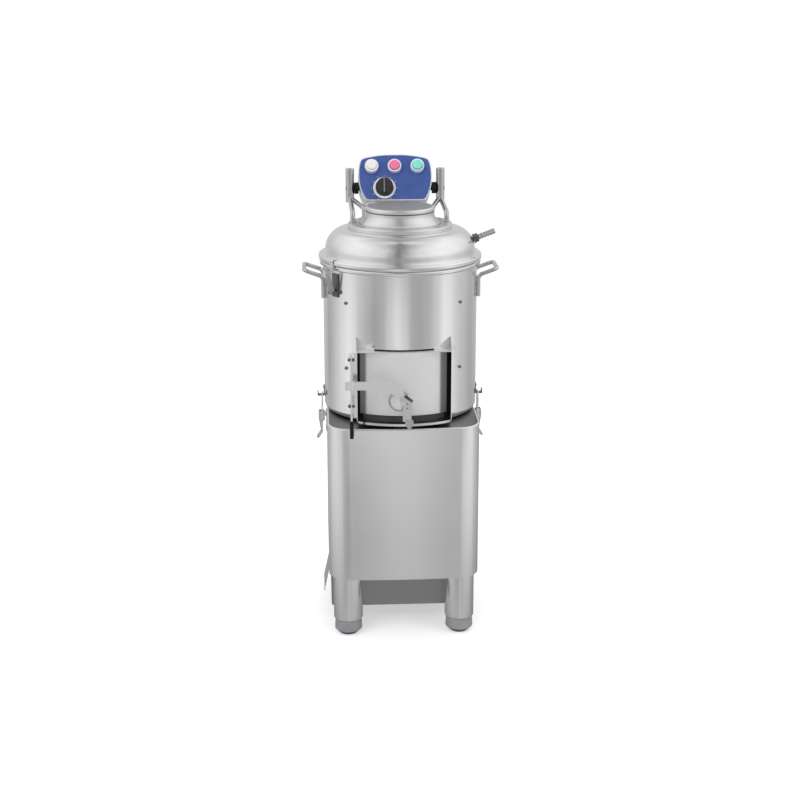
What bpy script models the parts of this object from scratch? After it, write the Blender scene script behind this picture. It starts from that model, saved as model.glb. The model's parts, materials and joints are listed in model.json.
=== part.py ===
# Electric potato peeler on its stand, built as separate parts (metres, +Z up, front towards -Y).
# Everything is modelled about the drum's axis. The parent empty then moves the whole machine so that the
# middle of its footprint box lies at the origin.
from math import asin, atan2, cos, pi, radians, sin, sqrt

import bmesh
import bpy
from mathutils import Matrix, Vector

# General
gap = 0.0003
overrun = 0.004
round_steps = 46
mid_steps = 24
small_steps = 12
bend_steps = 4
sharp_angle = radians(32)

# Stand
stand_inset = 0.005
stand_front_out = 0.0214
stand_rear_out = 0.004
stand_corner = 0.038
stand_top_z = 0.511
stand_low_z = 0.145
stand_wall = 0.0015
stand_plate = 0.002

# Legs and feet
leg_radius = 0.034
leg_wall = 0.002
leg_side_inset = 0.044
leg_face_inset = 0.0384
leg_low_z = 0.039
leg_roll = 0.003
foot_neck_length = 0.020
foot_top_radius = 0.0308
foot_radius = 0.0322
foot_cone_z = 0.012
foot_sole_radius = 0.020
foot_collar = 0.003

# Waste tray and its rails
tray_front_clearance = 0.009
tray_rear_clearance = 0.0126
tray_side_clearance = 0.005
tray_low_z = 0.046
tray_top_drop = 0.005
tray_wall = 0.002
tray_corner = 0.012
tray_rim = 0.006
rail_thick = 0.002
rail_rise = 0.020
tray_grip_width = 0.090
tray_grip_reach = 0.017
tray_grip_rise = 0.007
tray_grip_drop = 0.006
tray_grip_sheet = 0.002
tray_grip_fold = 0.008

# Drum
drum_radius = 0.180
drum_wall = 0.002
drum_fillet = 0.022
drum_flange = 0.030
drum_height = 0.3467
rim_out = 0.008
rim_height = 0.0097
rim_round = 0.0027
floor_inset = 0.024
floor_plate = 0.003
liner_thick = 0.0040
liner_rise = 0.045
liner_drop = 0.013

# Drive
shaft_radius = 0.0125
shaft_drop = 0.119
shaft_engage = 0.006
housing_flange_radius = 0.055
housing_flange = 0.0085
housing_radius = 0.035
housing_drop = 0.071
housing_neck_radius = 0.0295
drive_groove_radius = 0.078
motor_groove_radius = 0.020
pulley_flange = 0.007
pulley_half_width = 0.010
belt_half_width = 0.006
belt_thick = 0.006
belt_drop = 0.101
motor_y = 0.145
motor_radius = 0.060
motor_height = 0.186
motor_cap_radius = 0.050
motor_cap = 0.014
motor_fins = 20
motor_fin_depth = 0.004
motor_plate_drop = 0.024
motor_plate = 0.005
motor_plate_before = 0.075
motor_plate_waist_after = 0.007
motor_plate_after = 0.067
motor_plate_neck = 0.085
motor_shaft_radius = 0.008
motor_shaft_depth = 0.020

# Abrasive disc
disc_inset = 0.0095
disc_rise = 0.020
disc_thick = 0.010
disc_wave = 0.012
disc_waves = 3
disc_boss_radius = 0.030
disc_boss_rise = 0.0068

# Drain
drain_x = -0.100
drain_y = -0.065
drain_radius = 0.0225
drain_wall = 0.002
drain_rise = 0.007

# Outlet chute
chute_half_width = 0.1065
chute_sheet = 0.0015
chute_reach = 0.028
chute_floor_rise = 0.007
chute_height = 0.166
chute_peak_rise = 0.022
chute_lip = 0.0055
chute_ledge_reach = 0.0045
window_inset = 0.0145
window_rise = 0.022
window_drop = 0.014
flange_width = 0.0125
ear_low_rise = 0.050
ear_top_drop = 0.0094
ear_height = 0.009
ear_width = 0.012

# Outlet door
door_gap = 0.0008
door_sheet = 0.0024
door_left_inset = 0.0075
door_right_inset = 0.0095
door_rise = 0.015
door_drop = 0.007
rod_side = 0.0142
rod_front = 0.002
rod_radius = 0.0025
rod_drop = 0.026
rod_rise = 0.004
grip_radius = 0.005
grip_rise = 0.015
hub_x = -0.003
hub_rise = 0.055
hub_disc_radius = 0.022
hub_disc = 0.003
hub_stud_radius = 0.008
hub_pin_radius = 0.004
strap_out = 0.0035
strap_sheet = 0.003
strap_rise = 0.100
strap_height = 0.020
strap_tail = 0.0143
strap_foot_rise = 0.042
strap_foot_width = 0.021
knuckle_radius = 0.0062

# Door handle
handle_sheet = 0.002
handle_width = 0.021
handle_rise = 0.019
handle_drop = 0.030
handle_hood = 0.005
handle_lean = 0.009
spade_width = 0.0255
spade_drop = 0.0575
spade_thick = 0.0060
dog_width = 0.008
dog_sheet = 0.002
dog_reach = 0.0023

# Carry handles
bar_radius = 0.00475
carry_half_width = 0.0425
carry_tail_drop = 0.076
carry_root_drop = 0.026
carry_outer_drop = 0.010
carry_out = 0.0442
carry_bend = 0.012

# Lid
lid_wall = 0.002
brim_out = 0.002
brim_rise = 0.013
brim_round = 0.003
dome_inset = 0.0055
dome_foot_rise = 0.0155
dome_rise = 0.0715
dome_hole_radius = 0.100
ring_radius = 0.1214
ring_rise = 0.082
crown_radius = 0.0798
crown_rise = 0.039
crown_round = 0.0045
crown_fillet = 0.011

# Water inlet on the lid
inlet_inset = 0.004
inlet_foot_rise = 0.0415
inlet_rise = radians(21)
inlet_bore = 0.004
inlet_pipe_radius = 0.0055
inlet_barb_radius = 0.0068
inlet_nut_radius = 0.0105
inlet_nut = 0.009
inlet_length = 0.055
inlet_barbs = 4

# Lid hinge and arms
hinge_back = 0.020
hinge_rise = 0.051
arm_out = 0.021
arm_hub_radius = 0.0105
arm_hub_drop = 0.034
arm_hub_rise = 0.049
arm_rod_radius = 0.0050
arm_bend = 0.010
arm_run_rise = 0.022
arm_foot_inset = 0.0115
arm_front_turn = radians(4.9)
arm_rear_turn = radians(43)
arm_foot_radius = 0.0075
arm_foot_thick = 0.003
pin_radius = 0.006
pin_depth = 0.022
bush_out = 0.0002
bush_radius = 0.014

# Lid latch
latch_angle = radians(212.5)
strip_width = 0.012
strip_sheet = 0.0015
strip_reach = 0.0115
strip_drop = 0.0005
strip_lip_out = 0.0065
latch_plate_drop = 0.062
latch_plate_top_drop = 0.008
latch_plate_width = 0.022
latch_plate = 0.0027
latch_ear = 0.003
latch_pin_out = 0.0105
latch_pin_drop = 0.0515
latch_pin_radius = 0.0020
latch_boss_radius = 0.0045
latch_lever_width = 0.0145
latch_web_out = 0.0213
latch_web = 0.002
latch_claw_out = 0.0081
latch_claw_rise = 0.0018
latch_claw = 0.0025
latch_tab_out = 0.0185

# Clamps between drum and stand: heights from the lever's pin, and distances out from stand or drum
clamp_pin_drop = 0.022
clamp_pin_out = 0.0130
clamp_pin_radius = 0.0020
clamp_plate_drop = 0.040
clamp_plate_rise = 0.0105
clamp_plate_width = 0.022
clamp_plate = 0.002
clamp_ear_width = 0.009
clamp_ear_radius = 0.0050
clamp_ear_root = 0.0030
bail_radius = 0.0018
bail_low_out = 0.0118
bail_drop = 0.0120
bail_top_out = 0.0060
bail_half_width = 0.0125
bail_bend = 0.004
lever_width = 0.0175
lever_rise = 0.0095
lever_back_out = 0.0050
lever_front_out = 0.0205
lever_slot_drop = 0.011
lever_chamfer = 0.0038
lever_neck = 0.0050
lever_neck_out = 0.0100
lever_neck_drop = 0.042
lever_tip_out = 0.0255
lever_tip_drop = 0.058
strike_width = 0.016
strike_plate = 0.0022
strike_rise = 0.0254
strike_height = 0.0253
strike_ledge = 0.0025
strike_lip_out = 0.0170
strike_lip = 0.0025
strike_lip_height = 0.0108

# Control head
column_inset = 0.018
column_clearance = 0.015
column_depth = 0.041
column_corner = 0.006
face_forward = 0.010
face_drop = 0.026
face_tilt = radians(28.2)
face_height = 0.127
face_half_width = 0.090
head_rear_out = 0.026
head_waist_rise = 0.025
head_rise = 0.125
head_wall = 0.004
head_room_inset = 0.034
panel_border = 0.0025
panel_sheet = 0.002
# Half outline of the head: shares of the half width and of the height, bottom to top
head_outline_shares = (
    (0.72, 0.0), (0.80, 0.012), (0.845, 0.05), (0.90, 0.14), (0.955, 0.25), (0.99, 0.36), (1.0, 0.45),
    (0.997, 0.56), (0.978, 0.68), (0.94, 0.79), (0.885, 0.875), (0.80, 0.932), (0.66, 0.965), (0.45, 0.987),
    (0.22, 0.997),
)
button_row = 0.085
lamp_x = -0.0575
stop_x = -0.0015
start_x = 0.0545
bezel_radius = 0.0168
bezel_height = 0.014
cap_radius = 0.0122
cap_clearance = 0.0005
cap_height = 0.020
cap_lift = 0.0055
cap_round = 0.0015
dial_x = -0.027
dial_up = 0.0310
dial_radius = 0.0275
dial_thick = 0.002
knob_radius = 0.022
knob_top_radius = 0.0185
knob_height = 0.020
knob_skirt = 0.005
pointer_width = 0.005
pointer_height = 0.003

# Cable gland
gland_rise = 0.034
gland_radius = 0.010
gland_length = 0.014
gland_bore = 0.004
gland_nut = 0.006

# Worked out from the sizes above: across
rim_radius = drum_radius + rim_out
drum_inner = drum_radius - drum_wall
drum_flange_inner = drum_radius - drum_flange
floor_radius = drum_radius - floor_inset
disc_radius = drum_radius - disc_inset
chute_radius = drum_radius + chute_reach
chute_ledge_front = drum_radius + chute_ledge_reach
window_half_width = chute_half_width - window_inset
door_left = chute_half_width - door_left_inset
door_right = chute_half_width - door_right_inset
door_inner = drum_radius + door_gap
door_outer = door_inner + door_sheet
rod_x = -chute_half_width - rod_side
rod_y = -chute_radius - rod_front
strap_back = chute_radius + strap_out
carry_reach = drum_radius + carry_out
brim_radius = rim_radius + brim_out
dome_radius = drum_radius - dome_inset
inlet_x = dome_radius - inlet_inset
strip_inner = brim_radius - strip_reach
strip_lip = brim_radius + strip_lip_out
latch_pin_u = drum_radius + latch_pin_out
latch_web_u = drum_radius + latch_web_out
latch_claw_u = brim_radius + latch_claw_out
latch_tab_u = brim_radius + latch_tab_out
column_front = drum_radius + column_clearance
column_rear = column_front + column_depth
column_half_width = face_half_width - column_inset
stand_front = drum_radius + stand_front_out
stand_rear = column_rear + stand_rear_out
stand_width = 2 * (drum_radius - stand_inset)
tray_half_width = stand_width / 2 - tray_side_clearance
tray_front = stand_front - leg_face_inset - leg_radius - tray_front_clearance
tray_rear = stand_rear - leg_face_inset - leg_radius - tray_rear_clearance
motor_plate_front = motor_y - motor_plate_before
motor_plate_waist = motor_y + motor_plate_waist_after
motor_plate_rear = motor_y + motor_plate_after
clamp_pin_u = stand_width / 2 + clamp_pin_out
bail_low_u = stand_width / 2 + bail_low_out
bail_top_u = drum_radius + bail_top_out
face_low_y = column_front - face_forward
head_rear = column_rear + head_rear_out
head_room_half = face_half_width - head_room_inset
hinge_y = column_front + hinge_back
arm_x = face_half_width + arm_out
bush_inner_x = face_half_width + bush_out
pin_inner_x = face_half_width - pin_depth
front_reach = strap_back + strap_sheet + gap + handle_sheet + spade_thick
centre_y = (head_rear - front_reach) / 2

# Worked out from the sizes above: heights
tray_top_z = stand_low_z - tray_top_drop
tray_grip_low_z = tray_low_z + tray_grip_rise
tray_grip_top_z = tray_top_z - tray_grip_drop
drain_low_z = stand_low_z + drain_rise
leg_top_z = stand_top_z - stand_plate - gap
belt_z = stand_top_z - belt_drop
motor_plate_z = belt_z - motor_plate_drop
motor_low_z = motor_plate_z - motor_height
housing_low_z = stand_top_z - housing_drop
shaft_low_z = stand_top_z - shaft_drop
clamp_pin_z = stand_top_z - clamp_pin_drop
bail_low_z = clamp_pin_z - bail_drop
drum_low_z = stand_top_z + gap
floor_z = drum_low_z + drum_wall + gap
disc_boss_low_z = stand_top_z + disc_boss_rise
disc_low_z = stand_top_z + disc_rise
strike_low_z = drum_low_z + strike_rise
bail_top_z = strike_low_z + strike_ledge + bail_radius + gap
gland_z = stand_top_z + gland_rise
chute_floor_z = stand_top_z + chute_floor_rise
chute_top_z = chute_floor_z + chute_height
chute_peak_z = chute_top_z + chute_peak_rise
window_low_z = chute_floor_z + window_rise
window_top_z = chute_top_z - window_drop
door_low_z = chute_floor_z + door_rise
door_top_z = chute_top_z - door_drop
rod_low_z = chute_floor_z - rod_drop
rod_top_z = chute_top_z + rod_rise
grip_top_z = chute_floor_z + grip_rise
strap_mid_z = chute_floor_z + strap_rise
strap_foot_z = chute_floor_z + strap_foot_rise
hub_z = chute_floor_z + hub_rise
handle_top_z = hub_z + handle_rise
handle_low_z = hub_z - handle_drop
spade_tip_z = hub_z - spade_drop
drum_top_z = drum_low_z + drum_height
rim_top_z = drum_top_z + rim_height
liner_low_z = stand_top_z + liner_rise
liner_top_z = drum_top_z - liner_drop
carry_tail_z = drum_top_z - carry_tail_drop
carry_root_z = drum_top_z - carry_root_drop
carry_outer_z = drum_top_z - carry_outer_drop
latch_plate_low_z = drum_top_z - latch_plate_drop
latch_plate_top_z = drum_top_z - latch_plate_top_drop
latch_pin_z = drum_top_z - latch_pin_drop
strip_low_z = drum_top_z - strip_drop
latch_claw_z = drum_top_z + latch_claw_rise
lid_low_z = rim_top_z + gap
brim_top_z = lid_low_z + brim_rise
dome_foot_z = lid_low_z + dome_foot_rise
dome_top_z = lid_low_z + dome_rise
inlet_z = lid_low_z + inlet_foot_rise
ring_top_z = lid_low_z + ring_rise
crown_top_z = ring_top_z + crown_rise
hinge_z = ring_top_z + hinge_rise
face_low_z = hinge_z - face_drop
head_waist_z = face_low_z + head_waist_rise
head_top_z = face_low_z + head_rise

# The sloping face of the control head
face_back = Vector((0, cos(face_tilt), -sin(face_tilt)))
face_up = Vector((0, sin(face_tilt), cos(face_tilt)))
face_origin = Vector((0, face_low_y, face_low_z))
face_matrix = Matrix((
    (1, 0, 0, 0),
    (0, sin(face_tilt), -cos(face_tilt), face_low_y),
    (0, cos(face_tilt), sin(face_tilt), face_low_z),
    (0, 0, 0, 1),
))

# Columns of each frame are where an outline's two axes and its thickness point
side_frame = Matrix(((1, 0, 0, 0), (0, 0, -1, 0), (0, 1, 0, 0), (0, 0, 0, 1)))
cross_frame = Matrix(((0, 0, 1, 0), (1, 0, 0, 0), (0, 1, 0, 0), (0, 0, 0, 1)))

# Finish of each kind of part: colour, metallic, roughness
finishes = {
    "steel": ((0.62, 0.62, 0.63), 1.0, 0.28),
    "satin": ((0.50, 0.51, 0.53), 1.0, 0.38),
    "dark": ((0.10, 0.10, 0.11), 1.0, 0.45),
    "rubber": ((0.16, 0.17, 0.19), 0.0, 0.70),
    "black": ((0.02, 0.02, 0.02), 0.0, 0.50),
    "white": ((0.85, 0.85, 0.85), 0.0, 0.40),
    "blue": ((0.05, 0.12, 0.34), 0.0, 0.45),
    "red": ((0.90, 0.19, 0.38), 0.0, 0.35),
    "green": ((0.13, 0.68, 0.48), 0.0, 0.35),
    "grit": ((0.20, 0.19, 0.17), 0.0, 0.95),
    "paint": ((0.12, 0.20, 0.30), 0.0, 0.55),
}


def clear_scene():
    for item in list(bpy.data.objects):
        bpy.data.objects.remove(item, do_unlink=True)


def finish(kind):
    name = "finish_" + kind
    if name in bpy.data.materials:
        return bpy.data.materials[name]
    colour, metallic, roughness = finishes[kind]
    material = bpy.data.materials.new(name)
    material.use_nodes = True
    shader = material.node_tree.nodes["Principled BSDF"]
    shader.inputs["Base Color"].default_value = (*colour, 1)
    shader.inputs["Metallic"].default_value = metallic
    shader.inputs["Roughness"].default_value = roughness
    return material


def empty(name, place, parent):
    item = bpy.data.objects.new(name, None)
    item.empty_display_size = 0.02
    bpy.context.collection.objects.link(item)
    item.parent = parent
    item.location = place
    return item


def place_in_machine(item):
    place = Vector((0, 0, 0))
    while item.parent is not None:
        place += item.location
        item = item.parent
    return place


def solid(name, bm, kind, parent):
    # The mesh arrives in the machine's frame and is moved so that its origin is the parent's.
    bmesh.ops.translate(bm, verts=bm.verts, vec=-place_in_machine(parent))
    bmesh.ops.recalc_face_normals(bm, faces=bm.faces)
    mesh = bpy.data.meshes.new(name)
    bm.to_mesh(mesh)
    bm.free()
    mesh.materials.append(finish(kind))
    mesh.shade_smooth()
    mesh.set_sharp_from_angle(angle=sharp_angle)
    item = bpy.data.objects.new(name, mesh)
    bpy.context.collection.objects.link(item)
    item.parent = parent
    return item


def combine(item, bm, operation):
    tool = solid(item.name + "_tool", bm, "steel", item.parent)
    tool.hide_render = True
    tool.display_type = "WIRE"
    step = item.modifiers.new(operation.lower(), "BOOLEAN")
    step.operation = operation
    step.solver = "EXACT"
    step.object = tool
    return item


def cut(item, bm):
    return combine(item, bm, "DIFFERENCE")


def join(item, bm):
    return combine(item, bm, "UNION")


def arc(centre, radius, start, end, steps):
    angles = [start + (end - start) * i / steps for i in range(steps + 1)]
    return [(centre[0] + radius * cos(a), centre[1] + radius * sin(a)) for a in angles]


def rounded_rectangle(low, high, radius, steps=bend_steps):
    corners = (
        ((high[0] - radius, high[1] - radius), 0),
        ((low[0] + radius, high[1] - radius), pi / 2),
        ((low[0] + radius, low[1] + radius), pi),
        ((high[0] - radius, low[1] + radius), 3 * pi / 2),
    )
    return [p for centre, turn in corners for p in arc(centre, radius, turn, turn + pi / 2, steps)]


def prism(outline, low, high, matrix=Matrix()):
    # An outline in the matrix's first two axes, raised along its third.
    bm = bmesh.new()
    bottom = [bm.verts.new(matrix @ Vector((x, y, low))) for x, y in outline]
    top = [bm.verts.new(matrix @ Vector((x, y, high))) for x, y in outline]
    count = len(outline)
    bm.faces.new(bottom)
    bm.faces.new(top)
    for i in range(count):
        j = (i + 1) % count
        bm.faces.new((bottom[i], bottom[j], top[j], top[i]))
    bmesh.ops.recalc_face_normals(bm, faces=bm.faces)
    return bm


def tube_prism(outer, inner, low, high):
    # A prism with a hole through it: both outlines have the same number of points.
    bm = bmesh.new()
    rings = []
    for outline, z in ((outer, low), (outer, high), (inner, high), (inner, low)):
        rings.append([bm.verts.new((x, y, z)) for x, y in outline])
    count = len(outer)
    for k in range(len(rings)):
        here, there = rings[k], rings[(k + 1) % len(rings)]
        for i in range(count):
            j = (i + 1) % count
            bm.faces.new((here[i], here[j], there[j], there[i]))
    bmesh.ops.recalc_face_normals(bm, faces=bm.faces)
    return bm


def box(low, high):
    corners = [(low[0], low[1]), (high[0], low[1]), (high[0], high[1]), (low[0], high[1])]
    return prism(corners, low[2], high[2])


def turned(profile, steps=round_steps, matrix=Matrix()):
    # A closed profile of (radius, height) turned about the matrix's Z axis. Points at radius 0 are poles.
    bm = bmesh.new()
    rings = []
    for radius, height in profile:
        if radius == 0:
            rings.append([bm.verts.new(matrix @ Vector((0, 0, height)))] * steps)
        else:
            turns = [2 * pi * i / steps for i in range(steps)]
            ring = [matrix @ Vector((radius * cos(a), radius * sin(a), height)) for a in turns]
            rings.append([bm.verts.new(point) for point in ring])
    for k in range(len(rings)):
        here, there = rings[k], rings[(k + 1) % len(rings)]
        for i in range(steps):
            j = (i + 1) % steps
            corners = dict.fromkeys((here[i], here[j], there[j], there[i]))
            if len(corners) > 2:
                bm.faces.new(corners)
    bmesh.ops.recalc_face_normals(bm, faces=bm.faces)
    return bm


def sector(profile, start, end, steps):
    # A closed profile of (radius, height) swept from one angle to another, with flat ends.
    bm = bmesh.new()
    rings = []
    for i in range(steps + 1):
        a = start + (end - start) * i / steps
        rings.append([bm.verts.new((r * cos(a), r * sin(a), z)) for r, z in profile])
    count = len(profile)
    for here, there in zip(rings, rings[1:]):
        for k in range(count):
            m = (k + 1) % count
            bm.faces.new((here[k], here[m], there[m], there[k]))
    bm.faces.new(rings[0])
    bm.faces.new(rings[-1])
    bmesh.ops.recalc_face_normals(bm, faces=bm.faces)
    return bm


def rod(radius, low, high, steps=small_steps, matrix=Matrix()):
    return turned([(0, low), (radius, low), (radius, high), (0, high)], steps, matrix)


def rounded_path(points, radius, steps=bend_steps):
    # The corners of a path through the points, each rounded by an arc that touches both runs.
    points = [Vector(p) for p in points]
    path = [points[0]]
    for before, corner, after in zip(points, points[1:], points[2:]):
        a = (before - corner).normalized()
        b = (after - corner).normalized()
        half = a.angle(b) / 2
        reach = radius * cos(half) / sin(half)
        centre = corner + (a + b).normalized() * radius / sin(half)
        start, end = corner + a * reach - centre, corner + b * reach - centre
        turn = start.angle(end)
        for i in range(steps + 1):
            share = i / steps
            path.append(centre + (start * sin((1 - share) * turn) + end * sin(share * turn)) / sin(turn))
    path.append(points[-1])
    return path


def bar(path, radius, steps=8):
    # A round bar along a path, its section carried round each bend without twisting.
    path = [Vector(p) for p in path]
    bm = bmesh.new()
    tangent = (path[1] - path[0]).normalized()
    side = tangent.orthogonal().normalized()
    rings = []
    for i, point in enumerate(path):
        before = path[max(i - 1, 0)]
        after = path[min(i + 1, len(path) - 1)]
        ahead = (after - before).normalized()
        side = (side - ahead * side.dot(ahead)).normalized()
        up = ahead.cross(side)
        angles = [2 * pi * k / steps for k in range(steps)]
        rings.append([bm.verts.new(point + (side * cos(a) + up * sin(a)) * radius) for a in angles])
    for here, there in zip(rings, rings[1:]):
        for k in range(steps):
            m = (k + 1) % steps
            bm.faces.new((here[k], here[m], there[m], there[k]))
    bm.faces.new(rings[0])
    bm.faces.new(rings[-1])
    bmesh.ops.recalc_face_normals(bm, faces=bm.faces)
    return bm


def along(place, direction):
    # A matrix whose Z axis runs along the direction from the place.
    turn = Vector(direction).to_track_quat("Z", "Y")
    return Matrix.Translation(Vector(place)) @ turn.to_matrix().to_4x4()


def spun(bm, angle):
    bmesh.ops.rotate(bm, verts=bm.verts, cent=(0, 0, 0), matrix=Matrix.Rotation(angle, 3, "Z"))
    return bm


def side_prism(outline, half_width, angle, middle=0):
    # A plate on the drum's side, from an outline of (distance from the axis, height).
    return spun(prism(outline, middle - half_width, middle + half_width, side_frame), angle)


def side_rod(radius, u, z, half_width, angle, steps=small_steps):
    place = Matrix.Translation((u, 0, z)) @ side_frame
    return spun(rod(radius, -half_width, half_width, steps, place), angle)


def on_side(u, z, angle):
    return (u * cos(angle), u * sin(angle), z)


def build_stand(root):
    half = stand_width / 2
    outer = rounded_rectangle((-half, -stand_front), (half, stand_rear), stand_corner)
    inner = rounded_rectangle(
        (-half + stand_wall, -stand_front + stand_wall), (half - stand_wall, stand_rear - stand_wall),
        stand_corner - stand_wall)
    solid("stand_body", tube_prism(outer, inner, stand_low_z, leg_top_z), "satin", root)
    top = solid("stand_top", prism(outer, stand_top_z - stand_plate, stand_top_z), "satin", root)
    low, high = stand_top_z - stand_plate - overrun, stand_top_z + overrun
    cut(top, rod(housing_neck_radius + gap, low, high, round_steps))
    cut(top, rod(drain_radius + gap, low, high, small_steps, Matrix.Translation((drain_x, drain_y, 0))))


def leg_places():
    x = stand_width / 2 - leg_side_inset
    front, rear = leg_face_inset - stand_front, stand_rear - leg_face_inset
    return {
        "front_left": (-x, front), "front_right": (x, front),
        "rear_left": (-x, rear), "rear_right": (x, rear),
    }


def build_legs(root):
    bore = leg_radius - leg_wall
    tube = [
        (leg_radius - leg_wall / 2, leg_low_z), (leg_radius, leg_low_z + leg_roll), (leg_radius, leg_top_z),
        (bore, leg_top_z), (bore, leg_low_z),
    ]
    neck, neck_top_z = bore - gap, leg_low_z + foot_neck_length
    foot = [
        (0, 0), (foot_sole_radius, 0), (foot_radius, foot_cone_z), (foot_top_radius, leg_low_z - foot_collar),
        (neck, leg_low_z), (neck, neck_top_z), (0, neck_top_z),
    ]
    for name, (x, y) in leg_places().items():
        solid("leg_" + name, turned(tube, mid_steps, Matrix.Translation((x, y, 0))), "steel", root)
        pivot = empty("foot_slide_" + name, (x, y, leg_low_z), root)
        solid("foot_" + name, turned(foot, mid_steps, Matrix.Translation((x, y, 0))), "rubber", pivot)


def build_tray(root):
    front, rear, half = -tray_front, tray_rear, tray_half_width
    for name, y, way in (("front", front, -1), ("rear", rear, 1)):
        web_inner = y + way * (tray_rim + gap)
        lip_top = tray_top_z - tray_wall - gap
        web_top = stand_low_z + rail_rise
        outline = [
            (y + way * 2 * gap, lip_top - rail_thick), (web_inner + way * rail_thick, lip_top - rail_thick),
            (web_inner + way * rail_thick, web_top), (web_inner, web_top), (web_inner, lip_top),
            (y + way * 2 * gap, lip_top),
        ]
        reach = stand_width / 2 - stand_wall - gap
        solid("tray_rail_" + name, prism(outline, -reach, reach, cross_frame), "satin", root)
    pivot = empty("tray_slide", (-half, (front + rear) / 2, tray_low_z), root)
    outer = rounded_rectangle((-half, front), (half, rear), tray_corner, 3)
    tray = solid("waste_tray", prism(outer, tray_low_z, tray_top_z), "satin", pivot)
    for y, way in ((front, -1), (rear, 1)):
        low, high = sorted((y - way * tray_wall / 2, y + way * tray_rim))
        lip = box((tray_corner - half, low, tray_top_z - tray_wall), (half - tray_corner, high, tray_top_z))
        join(tray, lip)
    inner = rounded_rectangle(
        (-half + tray_wall, front + tray_wall), (half - tray_wall, rear - tray_wall),
        tray_corner - tray_wall, 3)
    cut(tray, prism(inner, tray_low_z + tray_wall, tray_top_z + overrun))
    # The grip is a sheet that leans out from the tray's left wall, with its lower edge folded straight
    wall, tip = -half + tray_wall / 2, -half - tray_grip_reach
    fold_z = tray_grip_low_z + tray_grip_fold
    under_z = tray_grip_top_z - 4 * tray_grip_sheet
    grip = [
        (tip, tray_grip_low_z), (tip + tray_grip_sheet, tray_grip_low_z), (tip + tray_grip_sheet, fold_z),
        (wall - tray_wall, under_z), (wall, under_z), (wall, tray_grip_top_z),
        (wall - tray_grip_sheet, tray_grip_top_z), (tip, fold_z),
    ]
    join(tray, prism(grip, -tray_grip_width / 2, tray_grip_width / 2, side_frame))


def window_box():
    return box((-window_half_width, -chute_radius, window_low_z), (window_half_width, 0, window_top_z))


def build_drum(root):
    centre = (drum_radius - drum_fillet, drum_low_z + drum_fillet)
    bend = arc(centre, drum_fillet, -pi / 2, 0, bend_steps)
    inner_bend = arc(centre, drum_fillet - drum_wall, 0, -pi / 2, 2)
    profile = [(drum_flange_inner, drum_low_z)] + bend + [
        (drum_radius, drum_top_z), (rim_radius - rim_round, drum_top_z), (rim_radius, drum_top_z + rim_round),
        (rim_radius, rim_top_z - rim_round), (rim_radius - rim_round, rim_top_z), (drum_inner, rim_top_z),
    ] + inner_bend + [(drum_flange_inner, drum_low_z + drum_wall)]
    cut(solid("drum_shell", turned(profile), "steel", root), window_box())
    hole = shaft_radius + gap * 2
    plate = [(hole, floor_z), (floor_radius, floor_z), (floor_radius, floor_z + floor_plate),
             (hole, floor_z + floor_plate)]
    floor = solid("drum_floor", turned(plate, mid_steps), "steel", root)
    drain = Matrix.Translation((drain_x, drain_y, 0))
    cut(floor, rod(drain_radius - drain_wall, floor_z - overrun, floor_z + floor_plate + overrun, small_steps, drain))
    outer = drum_inner - gap
    coat = [(outer - liner_thick, liner_low_z), (outer, liner_low_z), (outer, liner_top_z),
            (outer - liner_thick, liner_top_z)]
    cut(solid("wall_liner", turned(coat), "grit", root), window_box())
    bore = drain_radius - drain_wall
    pipe = [(bore, drain_low_z), (drain_radius, drain_low_z), (drain_radius, floor_z - gap), (bore, floor_z - gap)]
    solid("drain_pipe", turned(pipe, small_steps, drain), "steel", root)


def pulley(groove, low, high, flange):
    edge, half = groove + flange, belt_half_width + gap
    return [(edge, low), (edge, low + flange / 2), (groove, belt_z - half),
            (groove, belt_z + half), (edge, high - flange / 2), (edge, high)]


def belt_outline(extra, steps):
    # A loop round both pulleys, its straight runs tangent to them.
    big, small = drive_groove_radius + extra, motor_groove_radius + extra
    tilt = asin((big - small) / motor_y)
    back = arc((0, motor_y), small, tilt, pi - tilt, steps)
    front = arc((0, 0), big, pi - tilt, 2 * pi + tilt, 2 * steps)
    return back + front


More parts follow.
